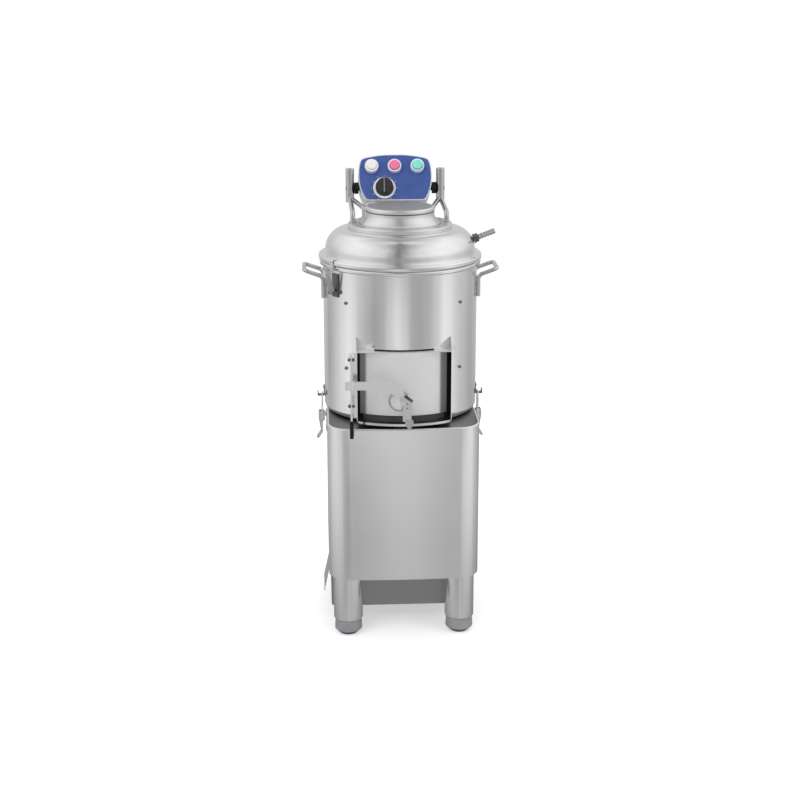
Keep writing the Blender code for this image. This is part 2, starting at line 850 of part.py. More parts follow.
def build_drive(root):
    bore = shaft_radius + gap
    top = stand_top_z - stand_plate - gap
    housing = [
        (bore, housing_low_z), (housing_radius, housing_low_z), (housing_radius, top - housing_flange),
        (housing_flange_radius, top - housing_flange), (housing_flange_radius, top),
        (housing_neck_radius, top), (housing_neck_radius, floor_z - gap), (bore, floor_z - gap),
    ]
    solid("bearing_housing", turned(housing, mid_steps), "dark", root)
    spin = empty("disc_spin", (0, 0, floor_z), root)
    low, high = belt_z - pulley_half_width, belt_z + pulley_half_width
    shaft_top = disc_low_z + shaft_engage
    shaft = [(0, shaft_low_z), (shaft_radius, shaft_low_z), (shaft_radius, low)]
    shaft += pulley(drive_groove_radius, low, high, pulley_flange)
    shaft += [(shaft_radius, high), (shaft_radius, shaft_top), (0, shaft_top)]
    solid("drive_shaft", turned(shaft, mid_steps), "dark", spin)

    solid("abrasive_disc", disc_mesh(shaft_top + gap), "grit", spin)

    wide, neck = stand_width / 2 - stand_wall - gap, motor_plate_neck
    outline = [
        (-wide, motor_plate_front), (wide, motor_plate_front), (wide, motor_plate_waist),
        (neck, motor_plate_waist), (neck, motor_plate_rear), (-neck, motor_plate_rear),
        (-neck, motor_plate_waist), (-wide, motor_plate_waist),
    ]
    motor = solid("motor", prism(outline, motor_plate_z, motor_plate_z + motor_plate), "paint", root)
    place = Matrix.Translation((0, motor_y, 0))
    body = [
        (0, motor_low_z), (motor_cap_radius, motor_low_z), (motor_cap_radius, motor_low_z + motor_cap),
        (motor_radius - motor_fin_depth, motor_low_z + motor_cap),
        (motor_radius - motor_fin_depth, motor_plate_z + motor_plate / 2), (0, motor_plate_z + motor_plate / 2),
    ]
    join(motor, turned(body, mid_steps, place))
    fin = []
    fin_shares = ((0, motor_radius - 2 * motor_fin_depth), (0.3, motor_radius), (0.6, motor_radius))
    for i in range(motor_fins):
        for share, radius in fin_shares:
            a = 2 * pi * (i + share) / motor_fins
            fin.append((radius * cos(a), motor_y + radius * sin(a)))
    join(motor, prism(fin, motor_low_z + 2 * motor_cap, motor_plate_z - motor_cap))
    cut(motor, rod(motor_shaft_radius + gap, belt_z - pulley_half_width - motor_shaft_depth - gap,
                   motor_plate_z + motor_plate + overrun, small_steps, place))
    turn = empty("motor_spin", (0, motor_y, belt_z), root)
    pin_low = low - motor_shaft_depth
    rotor = [(0, pin_low), (motor_shaft_radius, pin_low), (motor_shaft_radius, low)]
    rotor += pulley(motor_groove_radius, low, high, pulley_flange) + [(0, high)]
    solid("motor_pulley", turned(rotor, mid_steps, place), "dark", turn)
    outer, inner = belt_outline(gap * 2 + belt_thick, 12), belt_outline(gap * 2, 12)
    belt = tube_prism(outer, inner, belt_z - belt_half_width, belt_z + belt_half_width)
    solid("drive_belt", belt, "black", root)


def disc_mesh(bore_top):
    # The disc's upper face rises in smooth waves that toss the potatoes about.
    bore = shaft_radius + gap
    under = [(0, bore_top), (bore, bore_top), (bore, disc_boss_low_z), (disc_boss_radius, disc_boss_low_z),
             (disc_boss_radius, disc_low_z), (disc_radius, disc_low_z)]
    top_z = disc_low_z + disc_thick
    lift_shares = ((1.0, 0.0), (0.93, 0.35), (0.78, 1.0), (0.52, 0.75), (0.25, 0.15), (0.0, 0.0))
    profile = under + [(disc_radius * share, top_z) for share, lift in lift_shares]
    bm = turned(profile)
    for vert in bm.verts:
        if vert.co.z > top_z - gap:
            radius = sqrt(vert.co.x ** 2 + vert.co.y ** 2)
            lift = min((abs(radius - disc_radius * share), lift) for share, lift in lift_shares)[1]
            wave = (1 + cos(disc_waves * atan2(vert.co.y, vert.co.x))) / 2
            vert.co.z += disc_wave * lift * wave
    return bm


def cheek_outline():
    back = -sqrt((drum_radius - drum_fillet) ** 2 - chute_half_width ** 2)
    front = -sqrt(chute_radius ** 2 - chute_half_width ** 2)
    joint = -sqrt(drum_radius ** 2 - chute_half_width ** 2)
    return [(back, chute_floor_z), (front, chute_floor_z), (front, chute_top_z), (joint, chute_peak_z),
            (back, chute_peak_z)], front


def build_chute(root):
    outline, front = cheek_outline()
    inner, outer = chute_half_width, chute_half_width + chute_sheet
    half = asin(chute_half_width / chute_radius)
    # A curved floor whose front edge turns up into a lip
    radius = chute_radius
    low = chute_floor_z
    floor = [(drum_flange_inner, low), (radius, low), (radius, low + chute_lip),
             (radius - chute_sheet, low + chute_lip), (radius - chute_sheet, low + chute_sheet),
             (drum_flange_inner, low + chute_sheet)]
    frame = solid("chute_frame", sector(floor, -pi / 2 - half, -pi / 2 + half, 18), "steel", root)
    join(frame, prism(outline, inner - gap, outer, cross_frame))
    join(frame, prism(outline, -outer, gap - inner, cross_frame))
    back = sqrt((drum_radius - drum_fillet) ** 2 - chute_half_width ** 2)
    join(frame, box((-outer, -chute_ledge_front, chute_top_z), (outer, -back, chute_top_z + chute_sheet)))
    flange = -outer - flange_width
    low, high = chute_floor_z + chute_lip, chute_top_z
    join(frame, box((flange, front, low), (-inner - gap, front + chute_sheet, high)))
    for z in (chute_floor_z + ear_low_rise, chute_top_z - ear_top_drop):
        low = (rod_x - ear_width / 2, rod_y - ear_width / 2, z - ear_height / 2)
        high = (rod_x + ear_width / 2, front + chute_sheet / 2, z + ear_height / 2)
        join(frame, box(low, high))
    cut(frame, rod(rod_radius + gap, rod_low_z, rod_top_z, small_steps, Matrix.Translation((rod_x, rod_y, 0))))
    # The frame's back edges follow the drum, its rounded foot included
    bend = arc((drum_radius - drum_fillet, drum_low_z + drum_fillet), drum_fillet + gap, -pi / 2, 0, bend_steps)
    shape = [(0, drum_low_z - overrun), (drum_radius - drum_fillet, drum_low_z - overrun)] + bend
    shape += [(drum_radius + gap, drum_top_z), (0, drum_top_z)]
    cut(frame, turned(shape))
    place = Matrix.Translation((rod_x, rod_y, 0))
    pin_top = [(0, grip_top_z + gap), (rod_radius, grip_top_z + gap), (rod_radius, rod_top_z), (0, rod_top_z)]
    rod_item = solid("hinge_rod", turned(pin_top, small_steps, place), "steel", root)
    core = rod_radius - 2 * gap
    join(rod_item, rod(core, rod_low_z + grip_radius, grip_top_z + 2 * gap, small_steps, place))
    shell = [
        (0, rod_low_z), (grip_radius - gap * 3, rod_low_z), (grip_radius, rod_low_z + gap * 3),
        (grip_radius, grip_top_z), (core + gap, grip_top_z), (core + gap, rod_low_z + grip_radius - gap),
        (0, rod_low_z + grip_radius - gap),
    ]
    solid("rod_grip", turned(shell, small_steps, place), "black", root)


def build_door(root):
    swing = empty("door_swing", (rod_x, rod_y, strap_mid_z), root)
    left, right = asin(door_left / door_inner), asin(door_right / door_inner)
    sheet = [
        (door_inner, door_low_z), (door_outer, door_low_z), (door_outer, door_top_z), (door_inner, door_top_z),
    ]
    solid("outlet_door", sector(sheet, -pi / 2 - left, -pi / 2 + right, 20), "steel", swing)

    low, high = strap_mid_z - strap_height / 2, strap_mid_z + strap_height / 2
    foot = strap_foot_width / 2
    outline = [
        (rod_x - strap_tail, low), (hub_x - foot - strap_sheet, low), (hub_x - foot, strap_foot_z + foot / 2),
        (hub_x - foot / 2, strap_foot_z), (hub_x + foot / 2, strap_foot_z), (hub_x + foot, strap_foot_z + foot / 2),
        (hub_x + foot, low), (hub_x + foot / 2, high), (rod_x - strap_tail, high),
    ]
    strap = solid("door_strap", prism(outline, strap_back, strap_back + strap_sheet, side_frame), "steel", swing)
    place = Matrix.Translation((rod_x, rod_y, 0))
    join(strap, rod(knuckle_radius, low, high, small_steps, place))
    hub = Matrix.Translation((hub_x, 0, hub_z)) @ side_frame
    disc_back = door_outer + gap
    stack = [
        (0, disc_back), (hub_disc_radius, disc_back), (hub_disc_radius, disc_back + hub_disc),
        (hub_stud_radius, disc_back + hub_disc), (hub_stud_radius, strap_back + gap),
        (0, strap_back + gap),
    ]
    join(strap, turned(stack, mid_steps, hub))
    pin_end = strap_back + strap_sheet + gap + handle_sheet
    join(strap, rod(hub_pin_radius, strap_back, pin_end, small_steps, hub))
    cut(strap, rod(rod_radius + gap, low - overrun, high + overrun, small_steps, place))
    build_handle(swing, hub)


def build_handle(swing, hub):
    place = Vector((hub_x, -strap_back - strap_sheet - gap, hub_z))
    turn = empty("handle_turn", place - place_in_machine(swing), swing)
    back = strap_back + strap_sheet + gap
    face = back + handle_sheet
    mid = hub_x + handle_lean
    half = handle_width / 2
    # A flat plate whose top edge slopes, with a hood folded forward along it
    outline = [
        (mid - half, handle_low_z), (mid + half, handle_low_z), (mid + half, handle_top_z - half / 2),
        (mid - half, handle_top_z),
    ]
    plate = solid("door_handle", prism(outline, back, face, side_frame), "steel", turn)
    hood = [
        (mid - half, handle_top_z), (mid + half, handle_top_z - half / 2),
        (mid + half, handle_top_z - half / 2 - handle_sheet), (mid - half, handle_top_z - handle_sheet),
    ]
    join(plate, prism(hood, back + handle_sheet / 2, face + handle_hood, side_frame))
    # The spade-shaped thumb piece hangs below the plate, in front of the chute's lip
    wide = spade_width / 2
    height = handle_low_z - spade_tip_z
    shape_shares = ((0.80, 1.05), (1.0, 0.90), (1.0, 0.55), (0.80, 0.28), (0.45, 0.08), (0.12, 0.0))
    right = [(mid + wide * x, spade_tip_z + height * z) for x, z in shape_shares]
    left = [(mid - wide * x, spade_tip_z + height * z) for x, z in reversed(shape_shares)]
    join(plate, prism(right + left, back + handle_sheet / 2, face + spade_thick, side_frame))
    # A dog behind it reaches over the lip when the handle is swung home
    inside = chute_radius - chute_sheet
    dog_back = inside - gap * 4 - dog_sheet
    lip_top = chute_floor_z + chute_lip
    dog_mid = mid + dog_width / 2
    low_x, high_x = dog_mid - dog_width / 2, dog_mid + dog_width / 2
    shelf = lip_top + dog_reach + dog_sheet
    join(plate, box((low_x, -back - handle_sheet / 2, shelf), (high_x, -dog_back, shelf + dog_sheet)))
    foot_z = lip_top + gap * 2
    join(plate, box((low_x, -dog_back - dog_sheet, foot_z), (high_x, -dog_back, shelf + dog_sheet / 2)))
    cut(plate, rod(hub_pin_radius + gap, back - overrun, face + overrun, small_steps, hub))


def build_carry_handles(root):
    for name, angle in (("right", 0), ("left", pi)):
        wall = sqrt(drum_radius ** 2 - carry_half_width ** 2) + bar_radius + gap * 2
        side = carry_half_width
        path = [
            (wall, -side, carry_tail_z), (wall, -side, carry_root_z), (carry_reach, -side, carry_outer_z),
            (carry_reach, side, carry_outer_z), (wall, side, carry_root_z), (wall, side, carry_tail_z),
        ]
        item = bar(rounded_path(path, carry_bend), bar_radius, 10)
        solid("carry_handle_" + name, spun(item, angle), "steel", root)


def dome_points(offset):
    # The dome's outer line from brim to shoulder; the offset draws it inwards for the inner face.
    rise = dome_top_z - dome_foot_z
    line_shares = ((1.0, 0.10), (0.995, 0.29), (0.978, 0.47), (0.946, 0.64), (0.900, 0.80), (0.842, 0.92),
                   (0.774, 0.98), (0.71, 1.0))
    return [(dome_radius * r - offset, dome_foot_z + rise * z - offset * z) for r, z in line_shares]


def build_lid(root):
    swing = empty("lid_swing", (0, hinge_y, hinge_z), root)
    outer = [
        (brim_radius - brim_round, lid_low_z), (brim_radius, lid_low_z + brim_round),
        (brim_radius, brim_top_z - brim_round), (brim_radius - brim_round, brim_top_z),
        (dome_radius + brim_round, brim_top_z), (dome_radius + gap, dome_foot_z),
    ] + dome_points(0)
    inner = [(r, z) for r, z in reversed(dome_points(lid_wall)[::2])]
    profile = outer + [(dome_hole_radius, dome_top_z), (dome_hole_radius, dome_top_z - lid_wall)] + inner
    profile += [(dome_radius - lid_wall, lid_low_z)]
    dome = solid("lid_dome", turned(profile), "steel", swing)
    inlet = along((inlet_x, 0, inlet_z), (cos(inlet_rise), 0, sin(inlet_rise)))
    cut(dome, rod(inlet_pipe_radius + gap, -inlet_nut, inlet_nut, small_steps, inlet))

    low = dome_top_z + gap
    crown = [
        (ring_radius, low), (ring_radius, ring_top_z - lid_wall), (ring_radius - lid_wall, ring_top_z),
    ]
    crown += arc((crown_radius + crown_fillet, ring_top_z + crown_fillet), crown_fillet, -pi / 2, -pi, 3)
    crown += arc((crown_radius - crown_round, crown_top_z - crown_round), crown_round, 0, pi / 2, 2)
    crown += [
        (0, crown_top_z), (0, crown_top_z - lid_wall), (crown_radius - crown_round, crown_top_z - lid_wall),
        (crown_radius - crown_round, ring_top_z - lid_wall),
        (ring_radius - 2 * lid_wall, ring_top_z - lid_wall), (ring_radius - lid_wall, low),
    ]
    solid("lid_crown", turned(crown), "steel", swing)

    pipe = inlet_pipe_radius
    inside = -2 * lid_wall
    nipple = [(inlet_bore, inside), (pipe, inside), (pipe, 2 * lid_wall), (inlet_nut_radius, 2 * lid_wall),
              (inlet_nut_radius, 2 * lid_wall + inlet_nut)]
    barb_start = 2 * lid_wall + inlet_nut
    step = (inlet_length - barb_start) / inlet_barbs
    for i in range(inlet_barbs):
        at = barb_start + i * step
        nipple += [(pipe, at + gap), (inlet_barb_radius, at + step / 4), (pipe, at + step * 0.9)]
    nipple += [(pipe, inlet_length), (inlet_bore, inlet_length)]
    solid("inlet_nipple", turned(nipple, small_steps, inlet), "steel", swing)
    for name, way in (("left", -1), ("right", 1)):
        build_arm(swing, name, way)


def build_arm(swing, name, way):
    def side(x, y, z):
        return (way * x, y, z)

    low, high, edge = hinge_z - arm_hub_drop, hinge_z + arm_hub_rise, arm_hub_radius - 3 * gap
    hub = [
        (0, low), (edge, low), (arm_hub_radius, low + 3 * gap),
        (arm_hub_radius, high - 3 * gap), (edge, high), (0, high),
    ]
    post = turned(hub, small_steps, Matrix.Translation(side(arm_x, hinge_y, 0)))
    arm = solid("lid_arm_" + name, post, "steel", swing)
    foot_z = ring_top_z + gap
    run_z = ring_top_z + arm_run_rise
    reach = ring_radius - arm_foot_inset
    for turn in (arm_front_turn, arm_rear_turn):
        x, y = reach * cos(turn), reach * sin(turn)
        run = [
            side(arm_x, hinge_y, run_z + arm_rod_radius), side(x, y, run_z),
            side(x, y, foot_z + arm_foot_thick / 2),
        ]
        join(arm, bar(rounded_path(run, arm_bend), arm_rod_radius))
        place = Matrix.Translation(side(x, y, 0))
        join(arm, rod(arm_foot_radius, foot_z, foot_z + arm_foot_thick, small_steps, place))
    axis = along((0, hinge_y, hinge_z), (way, 0, 0))
    cut(arm, rod(pin_radius + gap, bush_inner_x, arm_x + arm_hub_radius + overrun, small_steps, axis))


def build_latch(root, lid_swing):
    half = strip_width / 2
    inner_u = brim_radius + 2 * gap
    top = brim_top_z + 2 * gap
    strip = [
        (strip_inner, top), (inner_u - strip_sheet, top), (inner_u, top - strip_sheet), (inner_u, strip_low_z),
        (strip_lip, strip_low_z), (strip_lip, strip_low_z + strip_sheet),
        (inner_u + strip_sheet, strip_low_z + strip_sheet), (inner_u + strip_sheet, top - strip_sheet / 2),
        (inner_u - strip_sheet / 2, top + strip_sheet), (strip_inner, top + strip_sheet),
    ]
    solid("latch_strip", side_prism(strip, half, latch_angle), "steel", lid_swing)

    inner = drum_radius + gap
    face = inner + latch_plate
    low, high = latch_plate_low_z, latch_plate_top_z
    plate = [(inner, low), (face, low), (face, high), (inner, high)]
    base = solid("latch_base", side_prism(plate, latch_plate_width / 2, latch_angle), "steel", root)
    ear = [(face - gap, latch_pin_z - latch_boss_radius)]
    ear += arc((latch_pin_u, latch_pin_z), latch_boss_radius, -pi / 2, pi / 2, 6)
    ear += [(face - gap, latch_pin_z + latch_boss_radius)]
    ear_mid = latch_lever_width / 2 + gap + latch_ear / 2
    for way in (-1, 1):
        join(base, side_prism(ear, latch_ear / 2, latch_angle, way * ear_mid))
    join(base, side_rod(latch_pin_radius, latch_pin_u, latch_pin_z, ear_mid, latch_angle))

    pivot = empty("latch_turn", on_side(latch_pin_u, latch_pin_z, latch_angle), root)
    centre = (latch_pin_u, latch_pin_z)
    web_outer = latch_web_u + latch_web
    claw_top = latch_claw_z + latch_claw
    lever = arc(centre, latch_boss_radius - gap, pi * 0.75, pi * 1.95, 8) + [
        (web_outer, latch_claw_z - 4 * latch_web), (web_outer, latch_claw_z - latch_web),
        (latch_tab_u, claw_top - latch_web), (latch_tab_u, claw_top), (latch_claw_u, claw_top),
        (latch_claw_u, latch_claw_z), (latch_web_u, latch_claw_z), (latch_web_u, latch_claw_z - 4 * latch_web),
    ]
    item = solid("latch_lever", side_prism(lever, latch_lever_width / 2, latch_angle), "steel", pivot)
    cut(item, side_rod(latch_pin_radius + gap, latch_pin_u, latch_pin_z, latch_lever_width, latch_angle))


def build_clamps(root):
    for name, angle in (("right", 0), ("left", pi)):
        build_strike(root, name, angle)
        build_clamp(root, name, angle)


def build_strike(root, name, angle):
    inner = drum_radius + gap
    face, tip = inner + strike_plate, drum_radius + strike_lip_out
    low, high, lip = strike_low_z, strike_low_z + strike_height, strike_low_z + strike_lip_height
    strike = [
        (inner, low), (tip, low), (tip, lip), (tip - strike_lip, lip), (tip - strike_lip, low + strike_ledge),
        (face, low + strike_ledge), (face, high), (inner, high),
    ]
    solid("clamp_strike_" + name, side_prism(strike, strike_width / 2, angle), "steel", root)


def build_clamp(root, name, angle):
    inner = stand_width / 2 + gap
    face = inner + clamp_plate
    low, high = clamp_pin_z - clamp_plate_drop, clamp_pin_z + clamp_plate_rise
    plate = [(inner, low), (face, low), (face, high), (inner, high)]
    base = solid("clamp_base_" + name, side_prism(plate, clamp_plate_width / 2, angle), "steel", root)
    ear = [(face - gap, clamp_pin_z - clamp_ear_root)]
    ear += arc((clamp_pin_u, clamp_pin_z), clamp_ear_radius, -pi / 2, pi / 2, 6)
    ear += [(face - gap, clamp_pin_z + clamp_ear_root)]
    join(base, side_prism(ear, clamp_ear_width / 2, angle))
    pin_reach = lever_width / 2 - gap
    join(base, side_rod(clamp_pin_radius, clamp_pin_u, clamp_pin_z, pin_reach, angle))

    pivot = empty("clamp_turn_" + name, on_side(clamp_pin_u, clamp_pin_z, angle), root)
    side, thick = stand_width / 2, lever_neck
    back, front, neck, tip = (
        side + lever_back_out, side + lever_front_out, side + lever_neck_out, side + lever_tip_out)
    top, slot_low = clamp_pin_z + lever_rise, clamp_pin_z - lever_slot_drop
    neck_z, tip_z = clamp_pin_z - lever_neck_drop, clamp_pin_z - lever_tip_drop
    outline = [
        (back + lever_chamfer, top), (back, top - lever_chamfer), (back, slot_low),
        (neck, slot_low - thick), (neck, neck_z), (tip - thick, tip_z), (tip, tip_z + thick / 2),
        (neck + thick, neck_z + thick / 2), (front, slot_low + thick), (front, top - thick / 2),
        (front - thick / 2, top),
    ]
    lever = solid("clamp_lever_" + name, side_prism(outline, lever_width / 2, angle), "steel", pivot)
    # The slot clears the ear, and the lever's two cheeks turn on the pin
    floor, open_top = clamp_pin_z - clamp_ear_radius - 2 * gap, top + overrun
    open_back, slot_front = back - overrun, clamp_pin_u + clamp_ear_radius + gap
    slot = [(open_back, floor), (slot_front, floor), (slot_front, open_top), (open_back, open_top)]
    cut(lever, side_prism(slot, clamp_ear_width / 2 + gap, angle))
    cut(lever, side_rod(clamp_pin_radius + gap, clamp_pin_u, clamp_pin_z, lever_width, angle))
    cut(lever, side_rod(bail_radius + gap, bail_low_u, bail_low_z, lever_width, angle))

    joint = Vector(on_side(bail_low_u, bail_low_z, angle)) - place_in_machine(pivot)
    bail_pivot = empty("bail_turn_" + name, joint, pivot)
    half = bail_half_width
    inside = clamp_ear_width / 2 + gap
    path = [
        (bail_low_u, -inside, bail_low_z), (bail_low_u, -half, bail_low_z), (bail_top_u, -half, bail_top_z),
        (bail_top_u, half, bail_top_z), (bail_low_u, half, bail_low_z), (bail_low_u, inside, bail_low_z),
    ]
    wire = bar(rounded_path(path, bail_bend - bail_radius, 3), bail_radius, 8)
    solid("clamp_bail_" + name, spun(wire, angle), "steel", bail_pivot)


def on_face(up, back):
    # A point of the machine's middle plane, by its height on the sloping face and its depth behind it.
    return tuple((face_origin + face_up * up + face_back * back)[1:])


def head_outline(border):
    right = []
    for x, up in head_outline_shares:
        right.append((face_half_width * x - border * x, border + (face_height - 2 * border) * up))
    left = [(-x, up) for x, up in reversed(right)]
    return right + left


def build_column(root):
    # The column's top slopes with the underside of the head, which it carries.
    half = column_half_width
    under = -face_back.z / face_back.y
    top_front = face_low_z - (column_front - face_low_y) * under - gap
    top_rear = face_low_z - (column_rear - face_low_y) * under - gap
    outer = rounded_rectangle((-half, column_front), (half, column_rear), column_corner, 3)
    inner = rounded_rectangle(
        (-half + stand_wall, column_front + stand_wall), (half - stand_wall, column_rear - stand_wall),
        column_corner - stand_wall, 3)
    column = solid("control_column", tube_prism(outer, inner, stand_top_z + gap, face_low_z), "steel", root)
    slope = (top_rear - top_front) / (column_rear - column_front)
    wedge = [
        (column_front - overrun, top_front - overrun * slope), (column_rear + overrun, top_rear + overrun * slope),
        (column_rear + overrun, face_low_z + overrun), (column_front - overrun, face_low_z + overrun),
    ]
    cut(column, prism(wedge, -half - overrun, half + overrun, cross_frame))

    gland = along((0, column_rear + gap, gland_z), (0, 1, 0))
    body = [(gland_bore, 0), (gland_radius, 0), (gland_radius, gland_nut), (gland_radius - gland_bore / 2, gland_nut),
            (gland_radius - gland_bore, gland_length), (gland_bore, gland_length)]
    solid("cable_gland", turned(body, small_steps, gland), "black", root)

    side = [
        (face_low_y, face_low_z), on_face(face_height + overrun, 0), (head_rear, head_top_z),
        (head_rear, head_waist_z), (column_rear, top_rear + gap),
    ]
    head = solid("control_box", prism(head_outline(0), -face_height, 0, face_matrix), "steel", root)
    combine(head, prism(side, -face_half_width - overrun, face_half_width + overrun, cross_frame), "INTERSECT")
    # The room inside the head opens downwards into the column
    room_rear = column_rear - 2 * head_wall
    room = [
        on_face(head_wall, head_wall), on_face(face_height - 2 * head_wall, head_wall),
        (head_rear - head_wall, head_waist_z + face_height / 2), (head_rear - head_wall, head_waist_z + head_wall),
        (room_rear, head_waist_z - head_wall), (room_rear, stand_top_z), (column_front + head_wall, stand_top_z),
        (column_front + head_wall, face_low_z),
    ]
    cut(head, prism(room, -head_room_half, head_room_half, cross_frame))
    axis = Matrix(((0, 0, 1, 0), (0, 1, 0, hinge_y), (-1, 0, 0, hinge_z), (0, 0, 0, 1)))
    for way in (-1, 1):
        low, high = sorted((way * (pin_inner_x - gap), way * (face_half_width + overrun)))
        cut(head, rod(pin_radius + gap, low, high, small_steps, axis))
    for name, way in (("left", -1), ("right", 1)):
        out = along((0, hinge_y, hinge_z), (way, 0, 0))
        bush_end = arm_x - arm_hub_radius - gap
        tip = arm_x + arm_hub_radius
        bush = [
            (0, pin_inner_x), (pin_radius, pin_inner_x), (pin_radius, bush_inner_x),
            (bush_radius, bush_inner_x), (bush_radius, bush_end), (pin_radius, bush_end), (pin_radius, tip), (0, tip),
        ]
        solid("pivot_bush_" + name, turned(bush, small_steps, out), "black", root)


def build_controls(root):
    solid("control_panel", prism(head_outline(panel_border), gap, gap + panel_sheet, face_matrix), "blue", root)
    base = 2 * gap + panel_sheet
    ring = [(0, base), (dial_radius, base), (dial_radius, base + dial_thick), (0, base + dial_thick)]
    dial = face_matrix @ Matrix.Translation((dial_x, dial_up, 0))
    solid("dial_ring", turned(ring, mid_steps, dial), "white", root)

    turn = empty("knob_turn", dial @ Vector((0, 0, base + dial_thick + gap)), root)
    low = base + dial_thick + gap
    top = low + knob_height
    knob = [(0, low), (knob_radius, low), (knob_radius, low + knob_skirt), (knob_top_radius, top - cap_round),
            (knob_top_radius - cap_round, top), (0, top)]
    item = solid("timer_knob", turned(knob, mid_steps, dial), "black", turn)
    half = pointer_width / 2
    join(item, prism([(-half, -knob_top_radius), (half, -knob_top_radius), (half, knob_top_radius),
                      (-half, knob_top_radius)], top - pointer_height, top + pointer_height, dial))

    def post(x):
        return face_matrix @ Matrix.Translation((x, button_row, 0))

    cap_top = base + cap_height
    lamp = [(0, base), (bezel_radius, base), (bezel_radius, base + bezel_height - cap_round),
            (bezel_radius - cap_round, base + bezel_height), (cap_radius, base + bezel_height),
            (cap_radius, cap_top - cap_round), (cap_radius - cap_round, cap_top), (0, cap_top)]
    solid("pilot_lamp", turned(lamp, mid_steps, post(lamp_x)), "white", root)
    bore = cap_radius + cap_clearance
    bezel = [(bore, base), (bezel_radius, base), (bezel_radius, base + bezel_height - cap_round),
             (bezel_radius - cap_round, base + bezel_height), (bore, base + bezel_height)]
    cap_low = base + cap_lift
    cap = [(0, cap_low), (cap_radius, cap_low), (cap_radius, cap_top - cap_round),
           (cap_radius - cap_round, cap_top), (0, cap_top)]
    for name, x, kind in (("stop", stop_x, "red"), ("start", start_x, "green")):
        solid(name + "_bezel", turned(bezel, mid_steps, post(x)), "white", root)
        press = empty(name + "_press", post(x) @ Vector((0, 0, cap_top)), root)
        solid(name + "_button", turned(cap, mid_steps, post(x)), kind, press)


def build_machine():
    clear_scene()
    machine = empty("peeler", (0, -centre_y, 0), None)
    build_stand(machine)
    build_legs(machine)
    build_tray(machine)
    build_drum(machine)
    build_drive(machine)
    build_chute(machine)
    build_door(machine)
    build_carry_handles(machine)
    build_lid(machine)
    build_latch(machine, bpy.data.objects["lid_swing"])
    build_clamps(machine)
    build_column(machine)
    build_controls(machine)


build_machine()
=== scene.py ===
import json
from math import asin, atan2, cos, hypot, pi, radians, sin, sqrt, tan

import bmesh
import bpy
from mathutils import Matrix, Vector


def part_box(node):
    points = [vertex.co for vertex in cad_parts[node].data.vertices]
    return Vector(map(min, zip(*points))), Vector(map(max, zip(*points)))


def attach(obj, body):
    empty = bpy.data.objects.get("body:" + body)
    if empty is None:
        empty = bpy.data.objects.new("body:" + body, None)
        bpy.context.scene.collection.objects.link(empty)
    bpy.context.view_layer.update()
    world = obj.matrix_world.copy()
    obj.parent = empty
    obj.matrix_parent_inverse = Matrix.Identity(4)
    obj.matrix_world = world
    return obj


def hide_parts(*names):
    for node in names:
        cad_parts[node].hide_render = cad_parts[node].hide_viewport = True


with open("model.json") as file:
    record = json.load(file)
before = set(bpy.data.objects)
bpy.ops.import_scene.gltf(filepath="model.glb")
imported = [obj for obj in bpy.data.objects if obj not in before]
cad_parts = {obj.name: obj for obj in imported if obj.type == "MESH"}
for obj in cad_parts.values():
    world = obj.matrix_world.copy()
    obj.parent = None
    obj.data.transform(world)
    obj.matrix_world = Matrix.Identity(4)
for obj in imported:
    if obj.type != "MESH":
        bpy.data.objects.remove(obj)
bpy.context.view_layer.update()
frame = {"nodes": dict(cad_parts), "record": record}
nodes = frame["nodes"]
bodyOf = {n: b for b, members in frame["record"]["behaviour"]["bodies"].items() for n in members}
bpy.context.scene.view_settings.view_transform = "Standard"

drumLow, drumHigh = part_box("drum_shell")
axisY = (drumLow.y + drumHigh.y) / 2      # the drum's axis stands at x = 0 and this y
toAxis = Matrix.Translation((0, axisY, 0))
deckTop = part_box("stand_top")[1].z
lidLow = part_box("lid_dome")[0].z
clear = 0.0003                            # left between two pieces
drumRadius, standHalf, rimHeight = 0.180, 0.175, 0.0097
domeRadius, domeRise = 0.1745, 0.0715     # rises are from the lid's lower edge
ringRadius, ringRise = 0.1214, 0.082
hingePinBore = 0.0028
pivot = {"x": 0.111, "y": 0.215, "hub": 0.0105, "bore": 0.0063, "height": lidLow + 0.082 + 0.051}
print("frame loaded: %d nodes, drum axis at y %.4f" % (len(nodes), axisY))


def aboutAxis(node):
    # a node's box, seen from the drum's axis
    low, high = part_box(node)
    return low - Vector((0, axisY, 0)), high - Vector((0, axisY, 0))


# Outlines lie in a plane of their own; these frames stand them up in the machine
sideFrame = Matrix(((1, 0, 0, 0), (0, 0, -1, 0), (0, 1, 0, 0), (0, 0, 0, 1)))     # x, height, depth to the front
crossFrame = Matrix(((0, 0, 1, 0), (1, 0, 0, 0), (0, 1, 0, 0), (0, 0, 0, 1)))     # y, height, width


def softOutline(corners, steps=6):
    # a corner given as (u, v, radius) becomes an arc
    out = []
    for i, corner in enumerate(corners):
        p = Vector(corner[:2])
        radius = corner[2] if len(corner) > 2 else 0
        if radius <= 0:
            out.append((p.x, p.y))
            continue
        a = Vector(corners[i - 1][:2]) - p
        b = Vector(corners[(i + 1) % len(corners)][:2]) - p
        half = a.angle(b) / 2
        reach = radius / tan(half)
        limit = 0.49 * min(a.length, b.length)
        if reach > limit:
            radius *= limit / reach
            reach = limit
        start = p + a.normalized() * reach
        end = p + b.normalized() * reach
        centre = p + (a.normalized() + b.normalized()).normalized() * (radius / sin(half))
        first, last = start - centre, end - centre
        turn = atan2(first.x * last.y - first.y * last.x, first.dot(last))
        for k in range(steps + 1):
            t = turn * k / steps
            out.append((centre.x + first.x * cos(t) - first.y * sin(t),
                        centre.y + first.x * sin(t) + first.y * cos(t)))
    return out


